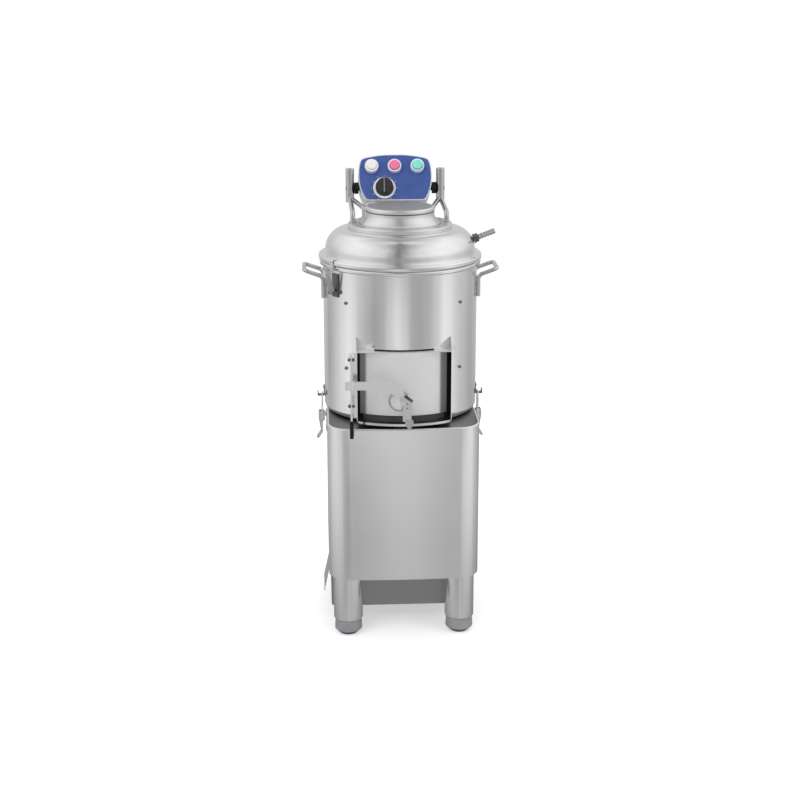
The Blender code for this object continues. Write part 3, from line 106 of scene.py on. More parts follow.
def throughPoints(points, steps=6):
    # a smooth line through the points
    ends = [points[0]] + list(points) + [points[-1]]
    out = []
    for i in range(1, len(ends) - 2):
        a, b, c, d = (Vector(p) for p in ends[i - 1:i + 3])
        for k in range(steps):
            t = k / steps
            out.append(tuple(0.5 * (2 * b + (c - a) * t + (2 * a - 5 * b + 4 * c - d) * t ** 2
                                    + (3 * b - a - 3 * c + d) * t ** 3)))
    return out + [tuple(points[-1])]


def lathe(profile, steps=96, matrix=Matrix()):
    # a closed loop of (radius, height), spun about the z axis
    bm = bmesh.new()
    rings = []
    for r, z in profile:
        if r < 1e-6:
            rings.append([bm.verts.new((0, 0, z))])
        else:
            rings.append([bm.verts.new((r * cos(2 * pi * k / steps), r * sin(2 * pi * k / steps), z))
                          for k in range(steps)])
    for i, a in enumerate(rings):
        b = rings[(i + 1) % len(rings)]
        if len(a) == 1 and len(b) == 1:
            continue
        for k in range(steps):
            n = (k + 1) % steps
            corners = [a[k % len(a)], a[n % len(a)], b[n % len(b)], b[k % len(b)]]
            bm.faces.new([v for j, v in enumerate(corners) if v not in corners[:j]])
    bm.transform(matrix)
    return bm


def sector(profile, start, end, steps=48):
    # the same, over part of a turn, with closed ends
    bm = bmesh.new()
    rows = []
    for k in range(steps + 1):
        a = start + (end - start) * k / steps
        rows.append([bm.verts.new((r * cos(a), r * sin(a), z)) for r, z in profile])
    count = len(profile)
    for a, b in zip(rows, rows[1:]):
        for i in range(count):
            bm.faces.new((a[i], a[(i + 1) % count], b[(i + 1) % count], b[i]))
    bm.faces.new(rows[0])
    bm.faces.new(list(reversed(rows[-1])))
    return bm


def prism(outline, low, high, matrix=Matrix()):
    bm = bmesh.new()
    bottom = [bm.verts.new((x, y, low)) for x, y in outline]
    top = [bm.verts.new((x, y, high)) for x, y in outline]
    bm.faces.new(bottom)
    bm.faces.new(top)
    for i in range(len(outline)):
        n = (i + 1) % len(outline)
        bm.faces.new((bottom[i], bottom[n], top[n], top[i]))
    bm.transform(matrix)
    return bm


def walls(lines):
    # an upright wall that runs through outlines of the same count, each with its height, and back to the first
    bm = bmesh.new()
    loops = [[bm.verts.new((x, y, z)) for x, y in line] for line, z in lines]
    for a, b in zip(loops, loops[1:] + loops[:1]):
        for i in range(len(a)):
            n = (i + 1) % len(a)
            bm.faces.new((a[i], a[n], b[n], b[i]))
    return bm


def block(low, high):
    (x0, y0, z0), (x1, y1, z1) = low, high
    return prism([(x0, y0), (x1, y0), (x1, y1), (x0, y1)], z0, z1)


def rod(radius, low, high, steps=32, matrix=Matrix()):
    # a plain round bar, also to bore with
    return lathe([(0, low), (radius, low), (radius, high), (0, high)], steps, matrix)


def turned(corners, arcs, steps, matrix=Matrix()):
    return lathe(softOutline(corners, arcs), steps, matrix)


def plate(corners, arcs, low, high, matrix=Matrix()):
    return prism(softOutline(corners, arcs), low, high, matrix)


def bentPath(points, radius, steps=8):
    # a line of straight runs with rounded bends
    pts = [Vector(p) for p in points]
    out = [pts[0]]
    for a, p, b in zip(pts, pts[1:], pts[2:]):
        back, on = (a - p).normalized(), (b - p).normalized()
        half = back.angle(on) / 2
        if half > pi / 2 - 0.01:
            out.append(p)
            continue
        reach = min(radius / tan(half), 0.49 * (a - p).length, 0.49 * (b - p).length)
        start, end = p + back * reach, p + on * reach
        centre = p + (back + on).normalized() * (reach / cos(half))
        axis = (start - centre).cross(end - centre).normalized()
        turn = (start - centre).angle(end - centre)
        for k in range(steps + 1):
            out.append(centre + Matrix.Rotation(turn * k / steps, 3, axis) @ (start - centre))
    return out + [pts[-1]]


def sweep(path, radius, sides=20, soft=0.0):
    # a round rod along the path; soft rounds the rims of its ends
    bm = bmesh.new()
    path = [Vector(p) for p in path]
    stations = [(p, radius) for p in path]
    if soft:
        first, last = (path[1] - path[0]).normalized(), (path[-1] - path[-2]).normalized()
        head = [(path[0] + first * soft * (1 - cos(t)), radius - soft * (1 - sin(t))) for t in (0, pi / 4)]
        tail = [(path[-1] - last * soft * (1 - cos(t)), radius - soft * (1 - sin(t))) for t in (pi / 4, 0)]
        stations = head + [(path[0] + first * soft, radius)] + stations[1:-1]
        stations += [(path[-1] - last * soft, radius)] + tail
    tangent = (stations[1][0] - stations[0][0]).normalized()
    across = tangent.orthogonal().normalized()
    rings = []
    for i, (p, r) in enumerate(stations):
        before, after = stations[max(i - 1, 0)][0], stations[min(i + 1, len(stations) - 1)][0]
        new = (after - before).normalized()
        across = (tangent.rotation_difference(new) @ across).normalized()
        tangent = new
        other = tangent.cross(across)
        rings.append([bm.verts.new(p + (across * cos(2 * pi * k / sides) + other * sin(2 * pi * k / sides)) * r)
                      for k in range(sides)])
    for a, b in zip(rings, rings[1:]):
        for k in range(sides):
            n = (k + 1) % sides
            bm.faces.new((a[k], a[n], b[n], b[k]))
    bm.faces.new(list(reversed(rings[0])))
    bm.faces.new(rings[-1])
    return bm


def gather(*parts):
    # several closed shells as one mesh
    bm = parts[0]
    for part in parts[1:]:
        loose = bpy.data.meshes.new("loose")
        part.to_mesh(loose)
        part.free()
        bm.from_mesh(loose)
        bpy.data.meshes.remove(loose)
    return bm


def taken(item):
    # the item's mesh, out of the scene
    bm = bmesh.new()
    bm.from_mesh(item.data)
    bpy.data.objects.remove(item)
    return bm


def joinTo(item, *parts):
    # adds closed shells to the item
    whole = bmesh.new()
    whole.from_mesh(item.data)
    gather(whole, *parts)
    whole.to_mesh(item.data)
    whole.free()


def flatten(item):
    # the item's modifiers become plain mesh
    graph = bpy.context.evaluated_depsgraph_get()
    made = bpy.data.meshes.new_from_object(item.evaluated_get(graph), depsgraph=graph)
    item.modifiers.clear()
    item.data = made
    return item


def roundEdges(item, width, segments=2, angle=32):
    if width:
        step = item.modifiers.new("rounding", "BEVEL")
        step.width = width
        step.segments = segments
        step.limit_method = "ANGLE"
        step.angle_limit = radians(angle)
        step.harden_normals = False
        flatten(item)
    return item


def linked(name, mesh):
    item = bpy.data.objects.new(name, mesh)
    bpy.context.collection.objects.link(item)
    return item


def newItem(name, bm, matrix=toAxis):
    bm.transform(matrix)
    bmesh.ops.recalc_face_normals(bm, faces=bm.faces)
    mesh = bpy.data.meshes.new(name)
    bm.to_mesh(mesh)
    bm.free()
    return linked(name, mesh)


def carve(item, bm, how="DIFFERENCE", matrix=toAxis):
    tool = newItem("tool", bm, matrix)
    step = item.modifiers.new("carve", "BOOLEAN")
    step.operation = how
    step.solver = "EXACT"
    step.object = tool
    flatten(item)
    bpy.data.objects.remove(tool)
    return item


def finishItem(item, finish, body, stands=(), sharp=38):
    # material, shading, and the body that the piece rides on
    item.data.materials.clear()
    item.data.materials.append(finishes[finish])
    item.data.shade_smooth()
    item.data.set_sharp_from_angle(angle=radians(sharp))
    step = item.modifiers.new("evenShading", "WEIGHTED_NORMAL")     # flat faces stay flat beside their rounded edges
    step.keep_sharp = True
    step.weight = 80
    flatten(item)
    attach(item, body)
    if stands:
        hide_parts(*stands)
    return item


def refinish(item, finish, test):
    # the faces that pass the test get a finish of their own
    item.data.materials.append(finishes[finish])
    for face in item.data.polygons:
        if test(face.normal, face.center - Vector((0, axisY, 0))):
            face.material_index = len(item.data.materials) - 1
    return item


def newPiece(name, bm, finish, body, stands=(), edge=0.0, segments=2, sharp=38):
    return finishItem(roundEdges(newItem(name, bm), edge, segments), finish, body, stands, sharp)


def dressedCopy(node, finish, slot, edge=0.0004, segments=2, sharp=38):
    # a node's own shape, merged, with its edges rounded
    bm = bmesh.new()
    bm.from_mesh(nodes[node].data)
    bmesh.ops.remove_doubles(bm, verts=bm.verts, dist=0.00001)
    bmesh.ops.dissolve_limit(bm, angle_limit=radians(1), verts=bm.verts, edges=bm.edges)
    first, *rest = node.split("_")
    item = newItem(first + "".join(w.capitalize() for w in rest) + "Dressed", bm, Matrix())
    return finishItem(roundEdges(item, edge, segments), finish, bodyOf[node], (node,), sharp)


def paintNode(node, finish):
    nodes[node].data.materials.clear()
    nodes[node].data.materials.append(finishes[finish])


# Materials. Each reads Object coordinates; grain says which way the brushing runs.
def newMaterial(name):
    made = bpy.data.materials.new(name)
    made.use_nodes = True
    return made, made.node_tree, made.node_tree.nodes["Principled BSDF"]


def feed(tree, step, values):
    # a value goes into the input of its name or number, as a link where it is a socket
    for label, value in values.items():
        if isinstance(value, bpy.types.NodeSocket):
            tree.links.new(value, step.inputs[label])
        else:
            step.inputs[label].default_value = value


def addNode(tree, kind, settings=None, **values):
    # values are named by an input's name, or by i and its number
    step = tree.nodes.new(kind)
    for label, value in (settings or {}).items():
        setattr(step, label, value)
    feed(tree, step, {int(k[1:]) if k[0] == "i" and k[1:].isdigit() else k: v for k, v in values.items()})
    return step


def maths(tree, kind, *values):
    step = addNode(tree, "ShaderNodeMath", {"operation": kind})
    feed(tree, step, dict(enumerate(values)))
    return step.outputs[0]


def plus(tree, a, b):
    return maths(tree, "ADD", a, b)


def times(tree, a, b):
    return maths(tree, "MULTIPLY", a, b)


def spread(tree, value, low, high, fromLow=0.3, fromHigh=0.7):
    return addNode(tree, "ShaderNodeMapRange", i0=value, i1=fromLow, i2=fromHigh, i3=low, i4=high).outputs[0]


def cloud(tree, vector, scale, detail=3.0, rough=0.5):
    return addNode(tree, "ShaderNodeTexNoise", Vector=vector, Scale=scale, Detail=detail,
                   Roughness=rough).outputs["Fac"]


def stretched(tree, scale=(1, 1, 1), shift=(0, 0, 0)):
    place = tree.nodes.new("ShaderNodeTexCoord").outputs["Object"]
    return addNode(tree, "ShaderNodeMapping", Vector=place, Location=shift, Scale=scale).outputs["Vector"]


def split(tree, vector):
    return addNode(tree, "ShaderNodeSeparateXYZ", i0=vector).outputs


def together(tree, x=0.0, y=0.0, z=0.0):
    return addNode(tree, "ShaderNodeCombineXYZ", X=x, Y=y, Z=z).outputs[0]


def blended(tree, share, first, second):
    return addNode(tree, "ShaderNodeMix", {"data_type": "RGBA"}, i0=share, i6=first, i7=second).outputs[2]


def turnedGrain(tree, fine):
    # fine rings about the drum's axis: radius and height run fast, the angle slowly
    x, y, z = split(tree, stretched(tree, shift=(0, -axisY, 0)))
    radius = maths(tree, "SQRT", plus(tree, times(tree, x, x), times(tree, y, y)))
    angle = times(tree, maths(tree, "ARCTAN2", y, x), 2.5)
    return together(tree, times(tree, radius, fine), angle, times(tree, z, fine))


def tinted(tree, value, darker, lighter):
    # a colour that wanders between two tones
    return blended(tree, value, (*darker, 1), (*lighter, 1))


def coated(tree, shader, colour, rough, height, strength, distance=0.0002):
    bump = addNode(tree, "ShaderNodeBump", Height=height, Strength=strength, Distance=distance)
    feed(tree, shader, {"Base Color": colour, "Roughness": rough, "Normal": bump.outputs[0]})


# tone, roughness, way of the grain, its fineness and depth, then what differs from plain metal
steelTones = {
    "spunSteel": (0.92, 0.13, "turned", 1400, 0.03),
    "sheetSteel": (0.92, 0.13, "upright", 1100, 0.03),
    "foldedSteel": (0.86, 0.20, "level", 1100, 0.04),
    "foldBright": (0.94, 0.55, "level", 1100, 0.04),
    # painted reflection: the door's steel darkens towards its side edges, for the dark cheeks it mirrors
    "doorSteel": (0.97, 0.43, "turned", 1400, 0.04, 0.72,
                  {"middle": -0.002, "from": 0.0815, "to": 0.0875, "share": 0.72}),
    "strapSteel": (0.92, 0.42, "level", 1400, 0.04, 0.85),
    "handleSteel": (0.86, 0.34, "even", 600, 0.06),
    "crownSteel": (0.88, 0.30, "turned", 1400, 0.03),
    # painted reflection: the crown's flat cap top is darker and duller
    "capSteel": (0.52, 0.46, "turned", 1400, 0.03),
    "tubeSteel": (0.86, 0.14, "even", 400, 0.04),
    "fittingSteel": (0.62, 0.26, "even", 700, 0.30),
    "armSteel": (0.68, 0.18, "even", 400, 0.05),
    # painted shade: the deck's steel is darker than the stand's, for the shade under the drum
    "deckSteel": (0.17, 0.34, "level", 900, 0.05),
    # painted shade: the tray's steel is darker than the stand's, for the shade inside the stand
    "traySteel": (0.36, 0.36, "level", 900, 0.05),
    "clampSteel": (0.60, 0.18, "even", 400, 0.05),
    "boltSteel": (0.20, 0.32, "even", 500, 0.08),
    "shadedSteel": (0.07, 0.40, "level", 900, 0.05),
    "machineIron": (0.20, 0.42, "even", 300, 0.12),
}


def makeSteel(name, tone, rough, grain, fine, depth, metal=1.0, shade=None):
    made, tree, shader = newMaterial(name)
    shader.inputs["Metallic"].default_value = metal
    if grain == "turned":
        line = turnedGrain(tree, fine)
    else:
        line = stretched(tree, {"upright": (fine, fine, 5), "level": (5, 5, fine), "even": (fine,) * 3}[grain])
    brushed = cloud(tree, line, 1.0, 5.0, 0.6)
    smudge = cloud(tree, stretched(tree), 9.0, 4.0)
    worn = plus(tree, times(tree, brushed, 0.4), times(tree, smudge, 0.6))
    low, high = tone * 0.975, tone * 1.02
    colour = tinted(tree, spread(tree, worn, 0.0, 1.0), (low, low, low * 1.005), (high, high, high * 1.008))
    if shade:
        # painted reflection: the colour darkens towards the side edges, where the door mirrors the dark chute cheeks
        off = maths(tree, "ABSOLUTE", split(tree, stretched(tree, shift=(-shade["middle"], 0, 0)))[0])
        paintedEdgeShade = spread(tree, off, 0.0, shade["share"], shade["from"], shade["to"])
        colour = blended(tree, paintedEdgeShade, colour, (0.03, 0.03, 0.032, 1))
    dull = plus(tree, spread(tree, brushed, -0.02, 0.02), spread(tree, smudge, rough - 0.015, rough + 0.02))
    coated(tree, shader, colour, dull, brushed, depth)
    return made


finishes = {name: makeSteel(name, *look) for name, look in steelTones.items()}

# darker and lighter tone, roughness, fineness of the grain
plasticTones = {
    "panelBlue": ((0.044, 0.092, 0.325), (0.056, 0.112, 0.365), 0.42, 500),
    "knobBlack": ((0.030, 0.030, 0.031), (0.046, 0.045, 0.044), 0.42, 900),
    # painted reflection: the bezels are tinted blue, for the blue panel they stand on
    "bezelWhite": ((0.74, 0.78, 0.90), (0.84, 0.87, 0.95), 0.30, 600),
    "lampWhite": ((0.84, 0.84, 0.85), (0.90, 0.90, 0.90), 0.22, 500),
    "capPink": ((0.84, 0.16, 0.33), (0.92, 0.20, 0.39), 0.32, 700),
    "capMint": ((0.20, 0.76, 0.60), (0.26, 0.84, 0.68), 0.32, 700),
    "gripBlack": ((0.003, 0.003, 0.003), (0.010, 0.010, 0.010), 0.50, 800),
    # painted shade: the grey of the sill under the window
    "sillGrey": ((0.05, 0.05, 0.052), (0.08, 0.08, 0.082), 0.60, 500),
    "beltRubber": ((0.014, 0.014, 0.015), (0.03, 0.03, 0.03), 0.75, 420),
    "motorPaint": ((0.09, 0.15, 0.24), (0.14, 0.21, 0.32), 0.50, 260),
    "casingPale": ((0.66, 0.68, 0.69), (0.72, 0.74, 0.75), 0.34, 500),
    "markGrey": ((0.22, 0.22, 0.23), (0.30, 0.30, 0.31), 0.40, 500),
    "dialWhite": ((0.94, 0.945, 0.95), (0.98, 0.98, 0.98), 0.35, 500),
}


def makePlastic(name, darker, lighter, rough, grain):
    made, tree, shader = newMaterial(name)
    place = stretched(tree)
    patch, pores = cloud(tree, place, 30.0, 4.0), cloud(tree, place, float(grain), 2.0)
    if max(lighter) < 0.05:
        shader.inputs["Specular IOR Level"].default_value = 0.25      # black parts take little shine
    coated(tree, shader, tinted(tree, spread(tree, patch, 0.0, 1.0), darker, lighter),
           spread(tree, pores, rough - 0.05, rough + 0.06), pores, 0.10)
    return made


finishes.update({name: makePlastic(name, *look) for name, look in plasticTones.items()})

footTones = {"grey": (0.275, 0.28, 0.29), "greyLight": (0.34, 0.345, 0.355), "sole": (0.055, 0.07, 0.12),
             "soleTop": 0.0080}


def makeFootPlastic(grey, greyLight, sole, soleTop):
    made, tree, shader = newMaterial("footGrey")
    place = stretched(tree)
    speck = cloud(tree, place, 700.0, 2.0)
    body = tinted(tree, spread(tree, cloud(tree, place, 40.0), 0.0, 1.0), grey, greyLight)
    above = spread(tree, split(tree, place)[2], 0.0, 1.0, soleTop - 0.002, soleTop + 0.002)
    coated(tree, shader, blended(tree, above, (*sole, 1), body), spread(tree, speck, 0.44, 0.60), speck, 0.25,
           0.0003)
    return made


gritLook = {"dark": (0.035, 0.033, 0.030), "light": (0.30, 0.28, 0.25), "size": 900.0}


def makeGrit(dark, light, size):
    made, tree, shader = newMaterial("gritCoat")
    place = stretched(tree)
    cells = addNode(tree, "ShaderNodeTexVoronoi", Vector=place, Scale=size)
    rough = cloud(tree, place, size / 2, 4.0, 0.7)
    tone = times(tree, rough, plus(tree, cells.outputs["Distance"], 0.45))
    coated(tree, shader, tinted(tree, spread(tree, tone, 0.0, 1.0, 0.2, 0.65), dark, light), 0.92, tone, 0.8,
           0.0012)
    return made


finishes.update({"footGrey": makeFootPlastic(**footTones), "gritCoat": makeGrit(**gritLook)})
print("materials made: %d" % len(bpy.data.materials))


# Geometry Nodes. Every tree has named inputs and ends in Realize Instances and Set Material.
def newTree(name, **inputs):
    # inputs: a label with _ for its spaces, and its kind
    tree = bpy.data.node_groups.new(name, "GeometryNodeTree")
    tree.interface.new_socket("Geometry", in_out="INPUT", socket_type="NodeSocketGeometry")
    tree.interface.new_socket("Geometry", in_out="OUTPUT", socket_type="NodeSocketGeometry")
    for label, kind in {**inputs, "Finish": "Material"}.items():
        tree.interface.new_socket(label.replace("_", " "), in_out="INPUT", socket_type="NodeSocket" + kind)
    entry = tree.nodes.new("NodeGroupInput")
    return tree, entry, entry.outputs


def closeTree(tree, entry, geometry):
    whole = addNode(tree, "GeometryNodeRealizeInstances", i0=geometry)
    painted = addNode(tree, "GeometryNodeSetMaterial", i0=whole.outputs[0], Material=entry.outputs["Finish"])
    addNode(tree, "NodeGroupOutput", i0=painted.outputs[0])
    return tree


def instances(tree, entry, points, shape, **values):
    placed = addNode(tree, "GeometryNodeInstanceOnPoints", Points=points, Instance=shape, **values)
    return closeTree(tree, entry, placed.outputs[0])


def boltTree():
    # a washer and a domed head on each point, standing along the point's facing
    tree, entry, out = newTree("boltRow", Sides="Int", Head_Radius="Float", Head_Height="Float",
                               Washer_Radius="Float", Washer_Height="Float", Dome="Float")
    washer = addNode(tree, "GeometryNodeMeshCylinder", Vertices=20, Radius=out["Washer Radius"],
                     Depth=out["Washer Height"])
    head = addNode(tree, "GeometryNodeMeshCylinder", Vertices=out["Sides"], Radius=out["Head Radius"],
                   Depth=out["Head Height"])
    lift = plus(tree, out["Washer Height"], times(tree, out["Head Height"], 0.5))
    headUp = addNode(tree, "GeometryNodeTransform", i0=head.outputs[0], Translation=together(tree, z=lift))
    cap = addNode(tree, "GeometryNodeMeshUVSphere", Segments=16, Rings=8,
                  Radius=times(tree, out["Head Radius"], 0.86))
    top = together(tree, z=plus(tree, out["Washer Height"], out["Head Height"]))
    capUp = addNode(tree, "GeometryNodeTransform", i0=cap.outputs[0], Translation=top,
                    Scale=together(tree, 1.0, 1.0, out["Dome"]))
    both = tree.nodes.new("GeometryNodeJoinGeometry")
    for part in (capUp, headUp, washer):
        tree.links.new(part.outputs[0], both.inputs[0])
    facing = addNode(tree, "GeometryNodeInputNamedAttribute", {"data_type": "FLOAT_VECTOR"}, Name="facing")
    turn = addNode(tree, "FunctionNodeAlignRotationToVector", {"axis": "Z"}, Vector=facing.outputs[0])
    return instances(tree, entry, out["Geometry"], both.outputs[0], Rotation=turn.outputs[0])


def ringTree():
    # blocks in a ring or part of one, each turned to face outwards
    tree, entry, out = newTree("ringRow", Count="Int", Radius="Float", First_Angle="Float", Step_Angle="Float",
                               Block="Vector", Height="Float")
    index = tree.nodes.new("GeometryNodeInputIndex").outputs[0]
    angle = plus(tree, out["First Angle"], times(tree, index, out["Step Angle"]))
    across, along = (times(tree, maths(tree, kind, angle), out["Radius"]) for kind in ("COSINE", "SINE"))
    points = addNode(tree, "GeometryNodePoints", Count=out["Count"],
                     Position=together(tree, across, along, out["Height"]))
    brick = addNode(tree, "GeometryNodeMeshCube", Size=out["Block"])
    turn = addNode(tree, "FunctionNodeEulerToRotation", i0=together(tree, z=angle))
    return instances(tree, entry, points.outputs[0], brick.outputs[0], Rotation=turn.outputs[0])


def weldTree():
    # a row of small beads along the piece's edges
    tree, entry, out = newTree("weldRow", Bead_Radius="Float", Spacing="Float", Seed="Int")
    line = addNode(tree, "GeometryNodeMeshToCurve", i0=out["Geometry"])
    row = addNode(tree, "GeometryNodeResampleCurve", {"mode": "LENGTH"}, Curve=line.outputs[0],
                  Length=out["Spacing"])
    bead = addNode(tree, "GeometryNodeMeshIcoSphere", Radius=out["Bead Radius"], Subdivisions=2)
    size = addNode(tree, "FunctionNodeRandomValue", {"data_type": "FLOAT"}, i2=0.85, i3=1.1, Seed=out["Seed"])
    return instances(tree, entry, row.outputs[0], bead.outputs[0], Scale=size.outputs[1])


def grainTree():
    # grit grains strewn over the faces that look up
    tree, entry, out = newTree("gritGrains", Density="Float", Grain="Float", Seed="Int")
    normal = tree.nodes.new("GeometryNodeInputNormal").outputs[0]
    upward = addNode(tree, "FunctionNodeCompare", {"data_type": "FLOAT", "operation": "GREATER_THAN"},
                     i0=split(tree, normal)[2], i1=0.5)
    spots = addNode(tree, "GeometryNodeDistributePointsOnFaces", Mesh=out["Geometry"],
                    Selection=upward.outputs[0], Density=out["Density"], Seed=out["Seed"])
    grain = addNode(tree, "GeometryNodeMeshIcoSphere", Radius=out["Grain"], Subdivisions=1)
    size = addNode(tree, "FunctionNodeRandomValue", {"data_type": "FLOAT"}, i2=0.45, i3=1.2, Seed=out["Seed"])
    return instances(tree, entry, spots.outputs[0], grain.outputs[0], Rotation=spots.outputs["Rotation"],
                     Scale=size.outputs[1])


waveShares = ((0.0, 0.0), (0.25, 0.15), (0.52, 0.75), (0.78, 1.0), (0.93, 0.35), (1.0, 0.0))


def waveTree():
    # smooth waves on the upper face of a flat disc: high on some spokes, gone at the middle and the rim
    tree, entry, out = newTree("wavyFace", Radius="Float", Waves="Float", Wave_Height="Float",
                               Face_Height="Float", Middle_Y="Float")
    x, y, z = split(tree, tree.nodes.new("GeometryNodeInputPosition").outputs[0])
    y = maths(tree, "SUBTRACT", y, out["Middle Y"])
    reach = maths(tree, "SQRT", plus(tree, times(tree, x, x), times(tree, y, y)))
    lift = addNode(tree, "ShaderNodeFloatCurve", Value=maths(tree, "DIVIDE", reach, out["Radius"]))
    line = lift.mapping.curves[0]
    for at, value in waveShares[1:-1]:
        line.points.new(at, value)
    line.points[0].location, line.points[-1].location = waveShares[0], waveShares[-1]
    lift.mapping.update()
    swing = maths(tree, "COSINE", times(tree, maths(tree, "ARCTAN2", y, x), out["Waves"]))
    wave = times(tree, plus(tree, swing, 1.0), 0.5)
    rise = times(tree, times(tree, wave, lift.outputs[0]), out["Wave Height"])
    upper = addNode(tree, "FunctionNodeCompare", {"data_type": "FLOAT", "operation": "GREATER_THAN"}, i0=z,
                    i1=out["Face Height"])
    moved = addNode(tree, "GeometryNodeSetPosition", Geometry=out["Geometry"], Selection=upper.outputs[0],
                    Offset=together(tree, z=rise))
    return closeTree(tree, entry, moved.outputs[0])


trees = {"bolts": boltTree(), "ring": ringTree(), "weld": weldTree(), "grains": grainTree(), "waves": waveTree()}


def grow(item, tree, values, finish):
    # runs a tree on the item and keeps its result as plain mesh
    values = {**values, "Finish": finishes[finish]}
    step = item.modifiers.new("grow", "NODES")
    step.node_group = trees[tree]
    for socket in trees[tree].interface.items_tree:
        if socket.in_out == "INPUT" and socket.name in values:
            step[socket.identifier] = values[socket.name]
    return flatten(item)


def boltRow(name, spots, look, body, finish):
    # spots: a place and the way that it faces
    mesh = bpy.data.meshes.new(name)
    mesh.from_pydata([Vector(p) + Vector((0, axisY, 0)) for p, way in spots], [], [])
    facing = mesh.attributes.new("facing", "FLOAT_VECTOR", "POINT")
    facing.data.foreach_set("vector", [c for p, way in spots for c in Vector(way).normalized()])
    return finishItem(grow(linked(name, mesh), "bolts", look, finish), finish, body, sharp=30)


def ringRow(name, matrix, look, body, finish):
    item = grow(linked(name, bpy.data.meshes.new(name)), "ring", look, finish)
    item.data.transform(toAxis @ matrix)
    return finishItem(item, finish, body, sharp=30)


def weldRow(name, lines, look, body, finish):
    mesh = bpy.data.meshes.new(name)
    points, edges = [], []
    for line in lines:
        edges += [(len(points) + i, len(points) + i + 1) for i in range(len(line) - 1)]
        points += [Vector(p) + Vector((0, axisY, 0)) for p in line]
    mesh.from_pydata(points, edges, [])
    return finishItem(grow(linked(name, mesh), "weld", look, finish), finish, body, sharp=60)


print("node trees made: %d" % len(trees))


# Stand, deck, legs and feet
standLook = {"corner": 0.052, "wall": 0.0015, "fold": 0.0036, "foldSteps": 5, "cornerSteps": 18, "bow": 0.0040,
             "bowSteps": 28, "shaftHole": 0.0298}
standLow, standHigh = aboutAxis("stand_body")


def roundedPlan(low, high, corner, steps, bow, bowSteps):
    # the front side bows out a little, as a folded sheet does
    middle, half = (low[0] + high[0]) / 2, (high[0] - low[0]) / 2 - corner
    line = []
    for x, y, first in ((low[0] + corner, low[1] + corner, pi), (high[0] - corner, low[1] + corner, 1.5 * pi),
                        (high[0] - corner, high[1] - corner, 0), (low[0] + corner, high[1] - corner, pi / 2)):
        turns = [first + pi / 2 * k / steps for k in range(steps + 1)]
        line += [(x + corner * cos(t), y + corner * sin(t)) for t in turns]
        if first == pi:
            shares = [2 * k / bowSteps - 1 for k in range(1, bowSteps)]
            line += [(middle + u * half, low[1] - bow * (1 - u * u)) for u in shares]
    return line


def standingAt(node):
    # the place and the half width of an upright round node
    low, high = aboutAxis(node)
    return Matrix.Translation(((low.x + high.x) / 2, (low.y + high.y) / 2, 0)), (high.x - low.x) / 2


def makeStand(corner, wall, fold, foldSteps, cornerSteps, bow, bowSteps, shaftHole):
    def plan(inset):
        return roundedPlan((standLow.x + inset, standLow.y + inset), (standHigh.x - inset, standHigh.y - inset),
                           corner - inset, cornerSteps, bow, bowSteps)

    # the sheet runs up, folds inwards round a soft edge and carries the deck
    turns = [pi / 2 * k / foldSteps for k in range(foldSteps + 1)]
    bend = [(fold - fold * cos(t), deckTop - fold + fold * sin(t)) for t in turns]
    under = [(fold - (fold - wall) * cos(t), deckTop - fold + (fold - wall) * sin(t)) for t in reversed(turns)]
    line = [(0, standLow.z)] + bend + under + [(wall, standLow.z)]
    shell = newPiece("standShell", walls([(plan(inset), z) for inset, z in line]), "sheetSteel", "machine",
                     ("stand_body",), sharp=50)
    # painted highlight: the fold's faces that look up get a lighter, rougher finish
    refinish(shell, "foldBright", lambda normal, spot: normal.z > 0.2)
    low, high = aboutAxis("stand_top")
    deck = newItem("standDeck", prism(plan(fold + 0.0002), low.z, high.z))
    carve(deck, rod(shaftHole, low.z - 0.01, high.z + 0.01, 64))
    middle, across = standingAt("drain_pipe")
    carve(deck, rod(across + clear, low.z - 0.01, high.z + 0.01, 32, middle))
    # painted shade: the deck gets the darker steel
    finishItem(deck, "deckSteel", "machine", ("stand_top",))


makeStand(**standLook)

legLook = {"wall": 0.002, "roll": 0.003, "steps": 72}
footLook = {"sole": 0.020, "widest": 0.0322, "widestAt": 0.012, "top": 0.0308, "collar": 0.003, "steps": 48}


def makeLegs(wall, roll, steps):
    for place in ("front_left", "front_right", "rear_left", "rear_right"):
        low, high = aboutAxis("leg_" + place)
        middle, radius = standingAt("leg_" + place)
        tube = softOutline([(radius, low.z, roll), (radius, high.z), (radius - wall, high.z),
                            (radius - wall, low.z, 0.0008)], 6)
        words = "".join(w.capitalize() for w in place.split("_"))
        newPiece("leg" + words, lathe(tube, steps, middle), "sheetSteel", "machine",
                 ("leg_" + place,))
        makeFoot(words, place, middle, low.z, radius - wall - clear, **footLook)


def makeFoot(words, place, middle, legLow, neck, sole, widest, widestAt, top, collar, steps):
    high = aboutAxis("foot_" + place)[1].z
    shape = softOutline([(0, 0), (sole, 0, 0.002), (widest, widestAt, 0.004), (top, legLow - collar, 0.0012),
                         (neck, legLow), (neck, high, 0.001), (0, high)], 5)
    newPiece("foot" + words, lathe(shape, steps, middle), "footGrey", bodyOf["foot_" + place],
             ("foot_" + place,), sharp=50)


makeLegs(**legLook)

